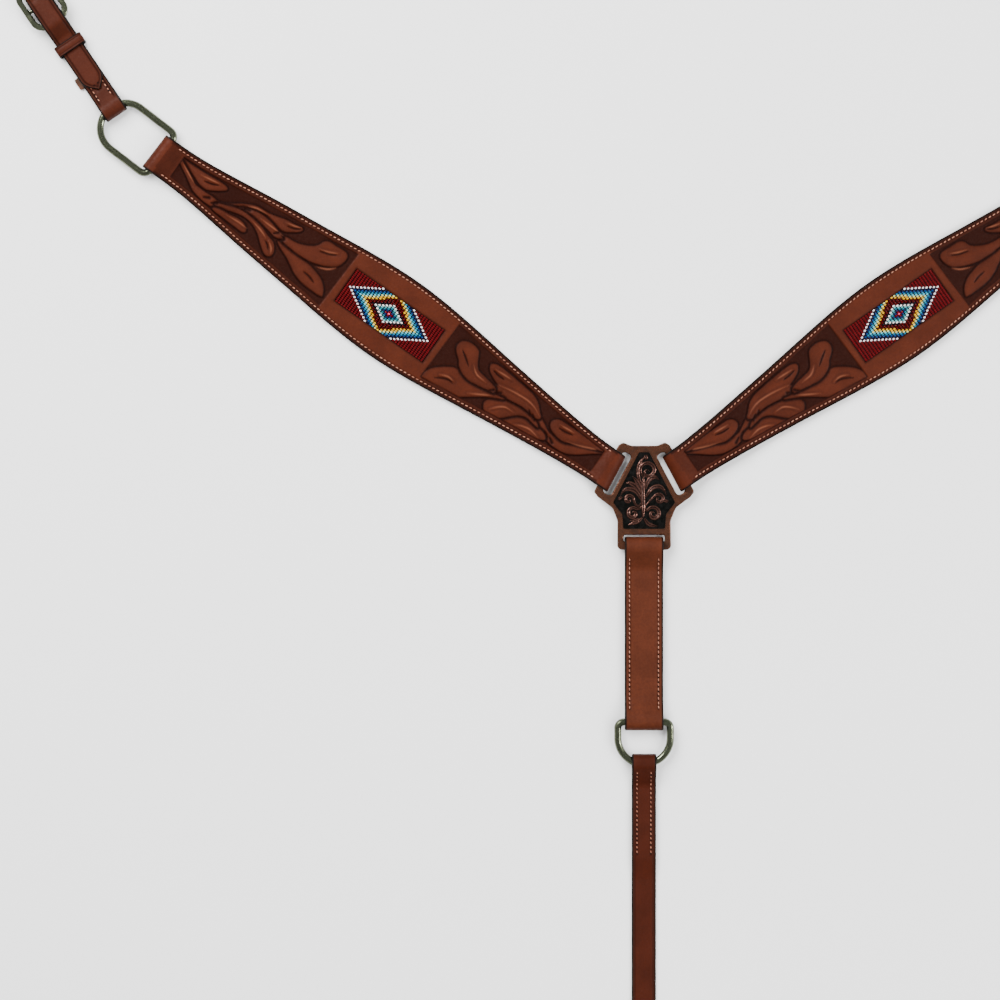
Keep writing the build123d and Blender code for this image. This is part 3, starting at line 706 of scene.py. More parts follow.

# %% [markdown]
# ## The carving
# A saddler cuts the outline of each leaf with a swivel knife, bevels the ground down beside the cut, mats it
# with a stippled stamp and darkens it with dye. Here each leaf is an outline in mm along and across the wing.
# Leaves are laid over each other in turn: inside its outline a leaf is domed, and just outside the leather is
# pressed down and darkened with painted shade. Ridges and slits are lines with a width; a ridge carries a
# painted highlight, with painted shade in a shallow groove on either side.

# %% Leaves, slits, ridges and stamps
PANELS = ((9.7, 9.7, 136.2, 137.8), (218.2, 220.2, 349.0, 349.0))
LEAVES = (
    ((10, 6.5), (17, 5.6), (24, 2.6), (31, -0.6), (36, -2.6), (42, -3.2), (47, -3), (52, -0.4), (57, 2.0),
     (60, 1.0), (58, -2.6), (52, -5.2), (46, -7.6), (40, -8.8), (34, -8.6), (29, -7.4), (23, -3.8),
     (17, 1.0), (12, 4.6)),
    ((50, -5.2), (59.4, -4.4), (65, -3.8), (70, -5.8), (75, -10.2), (80, -14.0), (84, -17), (78, -16.4),
     (70, -14.6), (62, -13), (54, -12), (49, -10), (46.5, -8)),
    ((11, 7.6), (20, 8.0), (30, 8.2), (40, 8.2), (46, 7.8), (49, 5.2), (49, 2.0), (46, -0.6), (40, -2.2),
     (35, -2.0), (30, 0.3), (22, 3.4), (16, 5.6), (12, 6.8)),
    ((66, -0.4), (77, -1.2), (83, -2.8), (88, -5), (92, -8), (93.4, -11), (92, -14), (89, -16.4),
     (84, -16.6), (79, -13.4), (75, -9.4), (70.4, -5.2), (65, -3.2), (60, -3.8), (55, -4.4), (58, -2.0),
     (62, -0.6)),
    ((57, 2.0), (60, 5), (63.7, 8.6), (68.7, 11.2), (75, 12.3), (84, 13.2), (93, 14), (100, 14.2),
     (103.8, 12.5), (103.5, 10), (101, 7.5), (96, 5), (92, 3.4), (95, 1.6), (93, -0.4), (88, -1), (80, 0),
     (72, 1), (64, 0.6), (59, 0)),
    ((84, -1.8), (90.7, -2.8), (97, -3.6), (104, -5.0), (112, -5.2), (118, -4.0), (122, -3.6), (126, -5.4),
     (130.7, -8.8), (135, -13), (137.4, -18), (137.6, -21.4), (131.4, -22.4), (120.7, -20.4), (112, -18.8),
     (108, -16.6), (103, -13), (95.7, -8), (90, -4.8)),
    ((93, 0.6), (97, 1.9), (101.4, 2.6), (108.6, 4), (112, 7.6), (114.3, 11.9), (116.4, 14.8),
     (120.7, 15.9), (125, 15.5), (128.6, 13.4), (129.6, 9.8), (127.9, 6.2), (123.6, 2.6), (120.7, -0.9),
     (115.7, -3.8), (110, -4.9), (102.9, -4.1), (97, -3.1), (92, -2)),
    ((222, -14.2), (224.3, -10.2), (228.6, -6.6), (234.3, -4.5), (241.4, -3), (248.6, -3), (258.6, -2),
     (266, -1.2), (266, -2.6), (262.9, -4.5), (255.7, -7.4), (251.4, -9.8), (245.7, -13), (238.6, -15.2),
     (230, -15.8), (223, -15.6)),
    ((222.9, 15.5), (225.7, 17.6), (232.9, 17.3), (238.6, 16.9), (241.4, 14.8), (242.9, 11.2), (247, 7.6),
     (254.3, 4.4), (262, 3.4), (267, 2.4), (265, 0), (258.6, -0.9), (251.4, -1.3), (242.9, -0.9),
     (237, 0.5), (231.4, 2.6), (225.7, 6.2), (223.2, 10.5)),
    ((349, 6.4), (341, 6.6), (330.7, 7.0), (320, 8.0), (314.3, 7.6), (314.4, 5.4), (320, 1.4),
     (325.7, -1.4), (331, -0.6), (338, 2.2), (349, 5.6)),
    ((349, 5.2), (341.4, 1.6), (334.3, -2.4), (327, -3.2), (319, -3), (313.6, -3.2), (309, -1.6),
     (304.3, 1.6), (300.7, 4.2), (295, 7.3), (290, 9.1), (280.7, 9.8), (270, 12.6), (263, 13.2),
     (257.9, 14), (258.4, 11.4), (263, 8), (268, 5.6), (276.4, 6.6), (284.3, 7.6), (291.4, 6.4), (297, 2.6),
     (303, -2.2), (309, -5.4), (314, -8), (322, -8.6), (330.7, -7.0), (334.3, -5.2), (341.4, -0.9),
     (349, 3.4)),
    ((265, 1), (272, 4.0), (278, 5.5), (285, 6.2), (291, 5.2), (296, 3.2), (292, 1.5), (284, 1.1),
     (276, 0.5), (270, -0.7)),
    ((314, -5), (305.7, -1.4), (298.6, 0.7), (290, 0.7), (280.7, -0.7), (274.3, -3.0), (269, -4.4),
     (265.6, -8), (264.6, -11.6), (266, -13.6), (269, -14), (274.3, -10.6), (280.7, -5.4), (287, -2.3),
     (293.6, -1.5), (298.6, -2.2), (304.3, -3.8), (312, -6.8)),
    ((314, -8.4), (310, -6.9), (302, -5.9), (296.4, -5), (291.4, -5.7), (287.9, -8.6), (290, -10.6),
     (297, -10.4), (306, -10), (313, -9.8)),
)
SLITS = (
    ((33, 4.7), (38, 3.6), (43, 3.3)), ((91, 8.8), (96, 8.9), (100.5, 9.8)),
    ((115.7, 2.6), (120.7, 6.2), (125, 9)), ((117.9, -12.7), (122, -12.6), (126.4, -14.4), (130, -16.8)),
    ((229.3, 12.6), (233.6, 10.5), (240, 8.4)), ((231.4, -11), (236, -9.4), (241.4, -8.8)),
    ((258.6, 13.2), (262, 11.2), (267, 9.6)), ((268.6, -10.4), (271, -8), (273.6, -6.6)),
    ((319.6, 5.6), (324, 3.8), (329, 2.6)),
)
RIDGES = (
    ((14.5, 5.6), (17, 4.8), (25, 1.6), (33.5, -1.2)),
    ((58, 2.1), (63.7, 5), (70, 6.4), (78, 6.1), (86, 5), (92.3, 3.6)),
    ((50.9, -10), (55, -9), (59.4, -8.6), (65, -10), (68.7, -12)),
    ((73.7, -5.7), (80, -5.7), (84.4, -8.6), (88, -12.9)), ((33, 6.4), (38, 6), (43.5, 5.5)),
    ((87, 11.6), (93, 11.4), (99.5, 11)), ((92, -4.4), (98, -8), (106, -12.6)),
    ((118, -11.4), (123, -11), (128, -13)), ((229, 14.2), (234, 11.6), (240.6, 9.4)),
    ((236, -1.4), (229, 1.6), (224.6, 5.8)), ((258.6, 14.2), (263, 12.6), (269, 11.2)),
    ((266, 3.0), (275, 3.4), (284, 3.6)), ((288, -7), (295, -6.6), (304, -7.4)),
    ((265.8, -11.6), (267.6, -8.4), (271.4, -5.4)), ((319, 7.0), (326, 5.8), (333, 4.6)),
    ((347.4, 4.2), (340, 0.6), (333, -2.8)), ((281, 8.6), (290, 7.8), (296, 5.4)),
    ((274, -5), (280, -2.6), (288, -0.8)), ((100, 0.4), (108, 1.2), (113, 5)),
)
COMMAS = (
    ((41.4, -7.4), (44.6, -5.4)), ((46.2, -6.2), (49, -4.2)), ((59.4, -1.6), (62.6, 0.6)),
    ((64, -0.6), (66.2, 1.6)), ((88, 0.2), (91.6, -1.8)), ((93, -0.8), (95.6, -3.2)),
    ((264.2, 1.4), (266.8, -1)), ((269.4, 3), (271.8, 0.6)), ((293.4, 4.2), (296.6, 2.8)),
    ((298, 3.6), (301.6, 1.2)), ((313.8, -4.6), (317, -6.6)), ((320, -4.6), (323.4, -6.4)),
)
print("leaves", len(LEAVES), "slits", len(SLITS), "ridges", len(RIDGES), "stamps", len(COMMAS))


# %% Measuring distances to leaves
def rounded_line(points, closed, per=5):
    """A smooth line through points, as short straight pieces."""
    p = np.array(points, float)
    count = len(p)
    line = []
    for i in range(count if closed else count - 1):
        around = (i - 1, i, i + 1, i + 2)
        a, b, c, d = (p[k % count] if closed else p[min(max(k, 0), count - 1)] for k in around)
        for t in np.arange(per) / per:
            line.append(0.5 * (
                2 * b + (c - a) * t + (2 * a - 5 * b + 4 * c - d) * t * t + (3 * b - a - 3 * c + d) * t ** 3
            ))
    line.append(p[0] if closed else p[-1])
    return np.array(line)


def nearest(places, line):
    """Each place's distance to a line, and how far along the line that is, from 0 to 1."""
    best, share = np.full(len(places), 1e9), np.zeros(len(places))
    for i, (a, b) in enumerate(zip(line, line[1:])):
        edge = b - a
        t = np.clip(((places - a) @ edge) / max(edge @ edge, 1e-9), 0, 1)
        gap = np.hypot(*(places - a - t[:, None] * edge).T)
        closer = gap < best
        best = np.where(closer, gap, best)
        share = np.where(closer, (i + t) / (len(line) - 1), share)
    return best, share


def enclosed(places, outline):
    """Which places are inside a closed outline."""
    inside = np.zeros(len(places), bool)
    for (ax, ay), (bx, by) in zip(outline, outline[1:]):
        crosses = (ay > places[:, 1]) != (by > places[:, 1])
        at = ax + (places[:, 1] - ay) * (bx - ax) / (by - ay if by != ay else 1e-9)
        inside ^= crosses & (places[:, 0] < at)
    return inside


# %% [markdown]
# ## Carving the wing's face
# The whole relief is worked out at once as three maps over the face: its depth, how much dye and painted shade
# darken it, and how much painted highlight lightens its ridges.

# %% The relief of a wing
GROUND_DEPTH = 0.62
GROUND_DYE = 0.84
LEAF_GROWTH = 0.7
BEVEL_REACH = 2.2
BEVEL_DEPTH = 0.55
DEEPEST = 0.85
LIP_DEPTH = 0.28
BORDER_INSET = 5.6
DYED_BORDERS = ((9.7, 137.0), (219.0, 349.0))
STROKES = ((SLITS, 0.75, -0.55), (RIDGES, 0.5, 0.26), (COMMAS, 1.25, -0.6))


def fade(value, start, end):
    """A soft step from 0 to 1 between start and end."""
    t = np.clip((value - start) / (end - start), 0, 1)
    return t * t * (3 - 2 * t)


def within(at, spans):
    """Which places lie in one of the spans."""
    return np.any([(at > first) & (at < last) for first, last in spans], axis=0)


def wing_relief(along, across, from_edge):
    """Depth, dye with painted shade, and painted highlight over the face of a wing."""
    shape = along.shape
    s, w, e = along.ravel(), across.ravel(), from_edge.ravel()
    on_top = (s > 2) & (s < WING_LENGTH - 2)
    worn = np.zeros_like(s)
    stitch_channel = np.exp(-((e - STITCH_INSET) / 0.8) ** 2) * fade(s, 5, 7) * fade(s, 357, 355)
    lean = np.clip(0.5 + w / 50, 0, 1)
    ground = np.zeros(len(s), bool)
    wall = np.full(len(s), 9.0)
    for top_first, low_first, top_last, low_last in PANELS:
        first = low_first + (top_first - low_first) * lean
        last = low_last + (top_last - low_last) * lean
        inner = np.minimum(np.minimum(s - first, last - s), e - BORDER_INSET)
        ground |= inner > 0
        wall = np.where(np.abs(inner) < np.abs(wall), inner, wall)
    depth = np.where(ground, -GROUND_DEPTH, 0.0)
    dye = np.where(ground, GROUND_DYE, 0.0)
    spots = np.stack([s, w], -1)

    def ground_near(line, margin):
        """The spots of the tooled ground close to a line."""
        close = (spots >= line.min(0) - margin).all(1) & (spots <= line.max(0) + margin).all(1)
        return np.where(ground & close)[0]

    for outline in LEAVES:
        line = rounded_line(outline, closed=True)
        near = ground_near(line, 3)
        gap, _ = nearest(spots[near], line)
        gap = np.where(enclosed(spots[near], line), gap, -gap) + LEAF_GROWTH
        inside, gap = gap > 0, np.abs(gap)
        # Inside its outline a leaf is domed, darker at the cut outline and a little darker for about 2 mm inward.
        leaf_depth = -0.04 - 0.30 * np.exp(-gap / 0.9)
        leaf_edge_dark = 0.9 * np.exp(-(gap / 0.55) ** 2) + 0.42 * np.exp(-gap / 2.0)
        pressed = np.clip(1 - gap / BEVEL_REACH, 0, 1)
        bevelled = np.maximum(depth[near] - BEVEL_DEPTH * pressed ** 2, -DEEPEST)
        depth[near] = np.where(inside, leaf_depth, np.minimum(depth[near], bevelled))
        # Outside a leaf, painted shade darkens the pressed-down leather next to its edge.
        dye[near] = np.where(inside, leaf_edge_dark, np.maximum(dye[near], np.minimum(1, 1.4 * pressed)))
        worn[near] = np.where(inside, 0.0, worn[near])
    for line, width, amount in [(line, *stroke) for lines, *stroke in STROKES for line in lines]:
        path = rounded_line(line, closed=False)
        near = ground_near(path, 4)
        gap, share = nearest(spots[near], path)
        taper = np.sin(np.pi * np.clip(share, 0.06, 0.94)) ** 0.6 if width < 1 else 1 - 0.45 * share
        mark = np.exp(-(gap / (width * taper)) ** 2)
        depth[near] += amount * mark
        if amount < 0:
            dye[near] = np.maximum(dye[near], 1.1 * mark)
            worn[near] *= 1 - mark
        else:
            # A ridge carries a painted highlight and holds less dye along its crest.
            worn[near] = np.maximum(worn[near], mark * np.sin(np.pi * np.clip(share, 0.1, 0.9)))
            dye[near] *= 1 - 0.8 * mark
            # Beside each ridge a shallow groove is sunk and darkened with painted shade.
            hollow = np.exp(-((gap - 1.5) / 0.7) ** 2)
            depth[near] -= 0.10 * hollow
            dye[near] = np.maximum(dye[near], 0.28 * hollow)
    crease = np.exp(-(wall / 0.5) ** 2) * on_top
    depth = np.where(np.abs(wall) < 3, np.minimum(depth, -0.5 * crease), depth)
    dye = np.maximum(dye, 0.9 * crease)
    # Round the window the face sinks at its lip, and painted shade darkens it there.
    window_gap = np.maximum(np.abs(s - WINDOW_AT) - WINDOW_LENGTH / 2, np.abs(w) - WINDOW_WIDTH / 2)
    window_lip = np.exp(-(np.maximum(window_gap, 0) / 0.8) ** 2)
    depth -= LIP_DEPTH * window_lip + LIP_DEPTH * stitch_channel
    dye = np.maximum(dye, 0.75 * window_lip)
    border = fade(e, BORDER_INSET + 0.3, BORDER_INSET - 0.6)
    dye = np.maximum(dye, 0.55 * border * within(s, DYED_BORDERS))
    dye = np.maximum(dye, 0.72 * fade(e, STITCH_INSET + 0.1, STITCH_INSET - 0.9))
    dye = np.maximum(dye, 0.22 * fade(s, 12, 9) + 0.45 * fade(s, WING_LENGTH - 14, WING_LENGTH - 10))
    dye = np.clip(dye, 0, 1)
    for result in (depth, dye, worn):
        result[~on_top] = 0
    return depth.reshape(shape), dye.reshape(shape), worn.reshape(shape)


# %% [markdown]
# ## The two wings
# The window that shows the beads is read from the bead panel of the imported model. The stations are close
# together where there is carving and further apart on the plain leather.

# %% Build the wings
WING_LEATHER = 2.4
LINING_LEATHER = 1.8
PLY_GAP = 0.15
BAR_HEIGHT = 5.6
SNUG_FOLD = BAR_HEIGHT - WING_LEATHER / 2
RETURN_TAB = 36.0
panel_middle = LINING_LEATHER + PLY_GAP / 2 + WING_LEATHER / 2
over_tab = panel_middle + WING_LEATHER + PLY_GAP
fold_foot = BAR_HEIGHT - SNUG_FOLD
fold_crown = BAR_HEIGHT + SNUG_FOLD
fold_bend = SNUG_FOLD - 0.02
WING_FOLD = (
    (RETURN_TAB, panel_middle, 0), (14, panel_middle, 12), (4, fold_foot, 12),
    (-SNUG_FOLD, fold_foot, fold_bend), (-SNUG_FOLD, fold_crown, fold_bend), (3, fold_crown, 8),
    (15, over_tab, 10), (RETURN_TAB + 4, over_tab, 60), (RETURN_TAB + 26, panel_middle, 60),
)


def in_wing_terms(node):
    """A node of the right wing, measured along and across the wing, in mm."""
    mesh = frame["nodes"][node].data
    points = np.zeros(len(mesh.vertices) * 3)
    mesh.vertices.foreach_get("co", points)
    points = points.reshape(-1, 3)[:, :2] / MM - wing_start
    c, s = math.cos(math.radians(WING_HEADING)), math.sin(math.radians(WING_HEADING))
    return points @ np.array([[c, -s], [s, c]])


CLEARANCE = 0.15
bead_field = in_wing_terms("right_bead_panel")
WINDOW_AT = float(bead_field[:, 0].min() + bead_field[:, 0].max()) / 2
WINDOW_LENGTH = float(np.ptp(bead_field[:, 0])) + 2 * CLEARANCE
WINDOW_WIDTH = float(np.ptp(bead_field[:, 1])) + 2 * CLEARANCE
print("window at", round(WINDOW_AT, 2), "length", round(WINDOW_LENGTH, 2), "width", round(WINDOW_WIDTH, 2))

wing_run = [*WING_FOLD, *[(WING_LENGTH - x, z, bend) for x, z, bend in reversed(WING_FOLD)]]
wing_path = rounded_run(wing_run)
CARVED = ((8.5, 139.0), (216.5, 350.5))
FOLD_STEP, CARVED_STEP, FACE_STEP, BACK_STEP = 0.8, 0.56, 1.1, 3.0


def wing_spacing(at, heading):
    """How far apart the stations are."""
    folded = (at < 3) | (at > WING_LENGTH - 3)
    facing = np.where(within(at, CARVED), CARVED_STEP, FACE_STEP)
    return np.where(folded, FOLD_STEP, np.where(heading > 0, facing, BACK_STEP))


def wing_shear(along):
    """How much each place slips along for each mm across, so that the folds lie square to their bars."""
    plate_share = 1 - fade(along, 12, 70)
    ring_share = fade(along, WING_LENGTH - 70, WING_LENGTH - 12)
    plate_slip, ring_slip = math.tan(math.radians(PLATE_SKEW)), math.tan(math.radians(RING_SKEW))
    return plate_slip * plate_share + ring_slip * ring_share


wing_place, wing_out, wing_way = stations(wing_path, wing_spacing)
FACE_COLUMNS = 84
on_face = np.where(wing_way[:, 0] > 0.9)[0]
window_rows = []
for end in (WINDOW_AT - WINDOW_LENGTH / 2, WINDOW_AT + WINDOW_LENGTH / 2):
    row = on_face[np.argmin(np.abs(wing_place[on_face, 0] - end))]
    wing_place[row, 0] = end
    window_rows.append(int(row))
wings = {}
for side in SIDES:
    wings[side] = strap_skin(
        side + "_wing_leather", wing_lay[side], wing_place, wing_out, wing_way, wing_half(wing_place[:, 0]),
        WING_LEATHER, FACE_COLUMNS, wing_leather, relief=wing_relief, shear=wing_shear,
        window=(*window_rows, WINDOW_WIDTH / 2),
    )
    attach(wings[side], side + "_wing")
    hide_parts(side + "_wing_face")

# %% [markdown]
# ## The drop strap and the girth strap
# The drop strap is doubled leather folded round the plate's bar and the dee. The girth strap is doubled only
# where its fold is stitched, and single below.

# %% Build the plain straps
STRAP_LEATHER = 1.7
ROUND_FOLD = BAR_HEIGHT - STRAP_LEATHER / 2
round_foot = BAR_HEIGHT - ROUND_FOLD
round_crown = BAR_HEIGHT + ROUND_FOLD
round_bend = ROUND_FOLD - 0.02
DROP_HALF = 12.7
drop_front = fold_foot + WING_LEATHER + PLY_GAP
DROP_RUN = (
    (DROP_LENGTH / 2 - 0.4, fold_foot, 0), (-SNUG_FOLD, fold_foot, fold_bend),
    (-SNUG_FOLD, fold_crown, fold_bend), (3, fold_crown, 6), (15, drop_front, 10),
    (DROP_LENGTH - 15, drop_front, 10), (DROP_LENGTH - 3, fold_crown, 6),
    (DROP_LENGTH + SNUG_FOLD, fold_crown, fold_bend), (DROP_LENGTH + SNUG_FOLD, fold_foot, fold_bend),
    (DROP_LENGTH / 2 + 0.4, fold_foot, 0),
)
GIRTH_TAB = 62.0
GIRTH_HALF = 8.0
girth_front = round_foot + STRAP_LEATHER + PLY_GAP
GIRTH_RUN = (
    (GIRTH_TAB, round_foot, 0), (-ROUND_FOLD, round_foot, round_bend),
    (-ROUND_FOLD, round_crown, round_bend), (3, round_crown, 5), (15, girth_front, 8),
    (GIRTH_TAB + 2, girth_front, 30), (GIRTH_TAB + 16, round_foot, 30),
    (GIRTH_LENGTH - GIRTH_TAB - 16, round_foot, 30), (GIRTH_LENGTH - GIRTH_TAB - 2, girth_front, 30),
    (GIRTH_LENGTH - 15, girth_front, 8), (GIRTH_LENGTH - 3, round_crown, 5),
    (GIRTH_LENGTH + ROUND_FOLD, round_crown, round_bend),
    (GIRTH_LENGTH + ROUND_FOLD, round_foot, round_bend), (GIRTH_LENGTH - GIRTH_TAB, round_foot, 0),
)
STRAIGHT = 0.98
BEND_STEP = 0.7
HOLE_DEPTH = 1.1


def grooved(lines, first, last):
    """A relief of creases at distances from the edge, each with a depth, a width and a dye."""
    def relief(along, across, from_edge):
        reach = fade(along, first, first + 3) * fade(along, last, last - 3)
        depth, dye = np.zeros_like(along), np.zeros_like(along)
        for inset, deep, wide, dark in lines:
            mark = np.exp(-((from_edge - inset) / wide) ** 2) * reach
            depth -= deep * mark
            dye = np.maximum(dye, dark * mark)
        # A faint paler band runs about 1.2 mm in from each edge.
        pale_band = 0.12 * np.exp(-((from_edge - 1.2) / 0.6) ** 2)
        return depth, dye, pale_band
    return relief


def punched(relief, spots, radius):
    """A relief with round holes punched along the middle."""
    def with_holes(along, across, from_edge):
        depth, dye, pale_band = relief(along, across, from_edge)
        for spot in spots:
            # Each hole is sunk and darkened with painted shade.
            hole = fade(np.hypot(along - spot, across), radius + 0.2, radius - 0.3)
            depth, dye = depth - HOLE_DEPTH * hole, np.maximum(dye, hole)
        return depth, dye, pale_band
    return with_holes


def even(spacing):
    """The same spacing everywhere but in the folds."""
    return lambda at, heading: np.where(np.abs(heading) > STRAIGHT, spacing, BEND_STEP)


drop_stations = stations(rounded_run(DROP_RUN), even(1.6))
drop_strap = strap_skin(
    "drop_strap_leather", drop_lay, *drop_stations, DROP_HALF, WING_LEATHER, 44, strap_leather,
    relief=grooved([(3.2, 0.25, 0.8, 0.2)], 6, DROP_LENGTH - 6),
)
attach(drop_strap, "drop_strap")
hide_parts("drop_strap")

girth_stations = stations(rounded_run(GIRTH_RUN), even(2.4))
girth_strap = strap_skin(
    "girth_strap_leather", girth_lay, *girth_stations, GIRTH_HALF, STRAP_LEATHER, 40, girth_leather,
    relief=grooved([(1.9, 0.25, 0.4, 0.75)], 4, GIRTH_LENGTH - 4),
)
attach(girth_strap, "girth_strap")
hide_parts("girth_strap")

# %% [markdown]
# ## The tugs
# A tug is one strap: it folds round the buckle's bar, runs down over the ring, back behind up to the saddle,
# and comes down the front again as the billet that goes through the buckle and the keeper.

# %% Build the tugs
TUG_HALF = 8.0
TUG_LIFT = 2.3
BILLET_TIP = 16.2
BILLET_POINT = 10.0
BUCKLE_BAR_RADIUS = 1.5
BUCKLE_AT = float(np.hypot(*(hinge_point("right_buckle_pivot") - hinge_point("right_tug_pivot"))))
saddle_loop = next(mount for mount in frame["record"]["mounts"] if mount["name"] == "right_saddle_loop")
TUG_LENGTH = float(np.hypot(*(np.array(saddle_loop["pos_m"][:2]) / MM - hinge_point("right_tug_pivot"))))
front_ply = TUG_LIFT + STRAP_LEATHER + 0.2
over_return = front_ply + STRAP_LEATHER + 0.2
billet_ply = front_ply + STRAP_LEATHER + PLY_GAP
buckle_fold = BUCKLE_BAR_RADIUS + 0.2 + STRAP_LEATHER / 2
buckle_height = front_ply + buckle_fold
buckle_crown = buckle_height + buckle_fold
buckle_bend = buckle_fold - 0.02
BILLET_OVER_BUCKLE = 12.4
TUG_RUN = (
    (66, front_ply, 0), (BUCKLE_AT + buckle_fold, front_ply, buckle_bend),
    (BUCKLE_AT + buckle_fold, buckle_crown, buckle_bend), (80.5, buckle_crown, 2.5),
    (74.5, over_return, 3), (64, over_return, 4), (58, front_ply, 4), (15, front_ply, 6), (3, round_crown, 5),
    (-ROUND_FOLD, round_crown, round_bend), (-ROUND_FOLD, round_foot, round_bend), (3, round_foot, 8),
    (13, TUG_LIFT, 8), (TUG_LENGTH - 13, TUG_LIFT, 8), (TUG_LENGTH - 3, round_foot, 8),
    (TUG_LENGTH + ROUND_FOLD, round_foot, round_bend), (TUG_LENGTH + ROUND_FOLD, round_crown, round_bend),
    (TUG_LENGTH - 3, round_crown, 5), (TUG_LENGTH - 15, front_ply, 6), (96.5, front_ply, 4),
    (86.8, BILLET_OVER_BUCKLE, 3), (66, BILLET_OVER_BUCKLE, 3), (57.5, billet_ply, 4),
    (BILLET_TIP, billet_ply, 0),
)
print("tug", round(TUG_LENGTH, 1), "buckle at", round(BUCKLE_AT, 1))
TONGUE_REACH = 5.7
HOLE_PITCH = 25.0
HOLE_RADIUS = 2.0
BILLET_HOLES = [BUCKLE_AT + TONGUE_REACH + HOLE_PITCH * count for count in (1, 2, 3)]


def tug_spacing(at, heading):
    """Closer stations in the folds and round the billet's holes."""
    near_hole = np.min([np.abs(at - spot) for spot in BILLET_HOLES], axis=0) < HOLE_RADIUS + 0.6
    straight_step = np.where(near_hole & (heading < 0), 0.45, 1.5)
    return np.where(np.abs(heading) > STRAIGHT, straight_step, BEND_STEP)


tug_place, tug_out, tug_way = stations(rounded_run(TUG_RUN), tug_spacing, outward=-1)
tip_share = np.clip((tug_place[:, 0] - BILLET_TIP) / BILLET_POINT, 0, 1)
last_stations = np.arange(len(tug_place)) > len(tug_place) - 14
is_billet = last_stations & (tug_place[:, 0] < BILLET_TIP + BILLET_POINT + 2)
point_share = np.maximum(np.sin(np.pi / 2 * tip_share) ** 0.75, 0.17)
tug_halves = np.where(is_billet, TUG_HALF * point_share, TUG_HALF)
tug_relief = punched(grooved([(2.3, 0.3, 0.6, 0.9)], 4, TUG_LENGTH - 4), BILLET_HOLES, HOLE_RADIUS)
tugs = {}
for side in SIDES:
    tugs[side] = strap_skin(
        side + "_tug_leather", tug_lay[side], tug_place, tug_out, tug_way, tug_halves, STRAP_LEATHER, 32,
        tug_leather, relief=tug_relief, face_side=-1,
    )
    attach(tugs[side], side + "_tug")
    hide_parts(side + "_tug_strap")

# %% [markdown]
# ## The keepers
# A keeper is a narrow band of leather closed round the plies of the tug. It is drawn as a rounded oblong ring
# whose own section is a thin strip with burnished corners.

# %% Build the keepers
KEEPER_AT = 50.6
KEEPER_WIDTH = 7.5
KEEPER_WALL = 1.3
KEEPER_OUTER = (20.4, 8.8)
KEEPER_CORNER = 2.0
KEEPER_MIDDLE = 4.4
CORNER_POINTS = 5


def rounded_oblong(width, height, corner):
    """Points round an oblong with rounded corners, and their outward directions."""
    points, outs = [], []
    for sx, sy, start in ((1, 1, 0), (-1, 1, 90), (-1, -1, 180), (1, -1, 270)):
        for k in range(CORNER_POINTS):
            a = math.radians(start + 90 * k / (CORNER_POINTS - 1))
            outs.append((math.cos(a), math.sin(a)))
            points.append((sx * (width / 2 - corner) + corner * outs[-1][0],
                           sy * (height / 2 - corner) + corner * outs[-1][1]))
    return np.array(points), np.array(outs)


def keeper_band(name, strap_lay):
    """A closed band of leather round the tug, with rounded edges and a crease along each."""
    ring_points, ring_outs = rounded_oblong(*KEEPER_OUTER, KEEPER_CORNER)
    half, edge = KEEPER_WIDTH / 2, 0.4
    rim = [(half, -KEEPER_WALL), (half, -edge), (half - 0.12, -0.12), (half - edge, 0.0),
           (half - 1.4, 0.0), (half - 1.8, -0.14), (half - 2.2, 0.0)]
    section = [(-x, y) for x, y in rim] + rim[::-1]
    along = np.array([KEEPER_AT + p[0] for p in section])
    deep = np.array([p[1] for p in section])
    across = ring_points[:, :1] + ring_outs[:, :1] * deep
    up = KEEPER_MIDDLE + ring_points[:, 1:] + ring_outs[:, 1:] * deep
    rows, loop = across.shape
    points = placed(strap_lay, np.repeat(along[None], rows, 0), across, up).reshape(-1, 3)
    faces = []
    for i in range(rows):
        for j in range(loop):
            after, beside = (i + 1) % rows, (j + 1) % loop
            faces.append((i * loop + j, after * loop + j, after * loop + beside, i * loop + beside))
    from_edge = np.tile(half - np.abs(along - KEEPER_AT) + np.maximum(deep + 0.3, 0), rows)
    dye = np.tile(np.where(deep < -0.1, 0.8, 0.0), rows)
    numbers = {"from_edge": from_edge, "run": np.full(len(points), -50.0), "dye": dye}
    return finished_object(name, points, faces, numbers, tug_leather)


for side in SIDES:
    keeper = keeper_band(side + "_keeper_band", tug_lay[side])
    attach(keeper, side + "_keeper")
    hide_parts(side + "_keeper")

# %% [markdown]
# ## Stitches
# A lockstitch is the same short turn of thread over and over, so Geometry Nodes lays it: a row is drawn as a
# line, points are set along it at the pitch, and a small thread shape is put on each and turned a little.

# %% Geometry nodes: a row of stitches
thread_material = grained_finish(
    "waxed_thread", 0.25, 5.0, "Tone", rgb(166, 114, 92), rgb(126, 76, 58), 0.7, 0.08
)


def laid_on(tree, points, size, material, **turned):
    """A small ball stretched to a size on every point, as one smooth mesh with its material."""
    ball = add_node(tree, "GeometryNodeMeshUVSphere", {"Segments": 8, "Rings": 6, "Radius": 0.5})
    scale = add_node(tree, "ShaderNodeCombineXYZ", dict(zip("XYZ", size))).outputs[0]
    copies = add_node(
        tree, "GeometryNodeInstanceOnPoints",
        {"Points": points, "Instance": ball.outputs["Mesh"], "Scale": scale, **turned},
    ).outputs["Instances"]
    solid = add_node(tree, "GeometryNodeRealizeInstances", {0: copies}).outputs[0]
    smooth = add_node(tree, "GeometryNodeSetShadeSmooth", {0: solid}).outputs[0]
    return add_node(tree, "GeometryNodeSetMaterial", {"Geometry": smooth, "Material": material}).outputs[0]


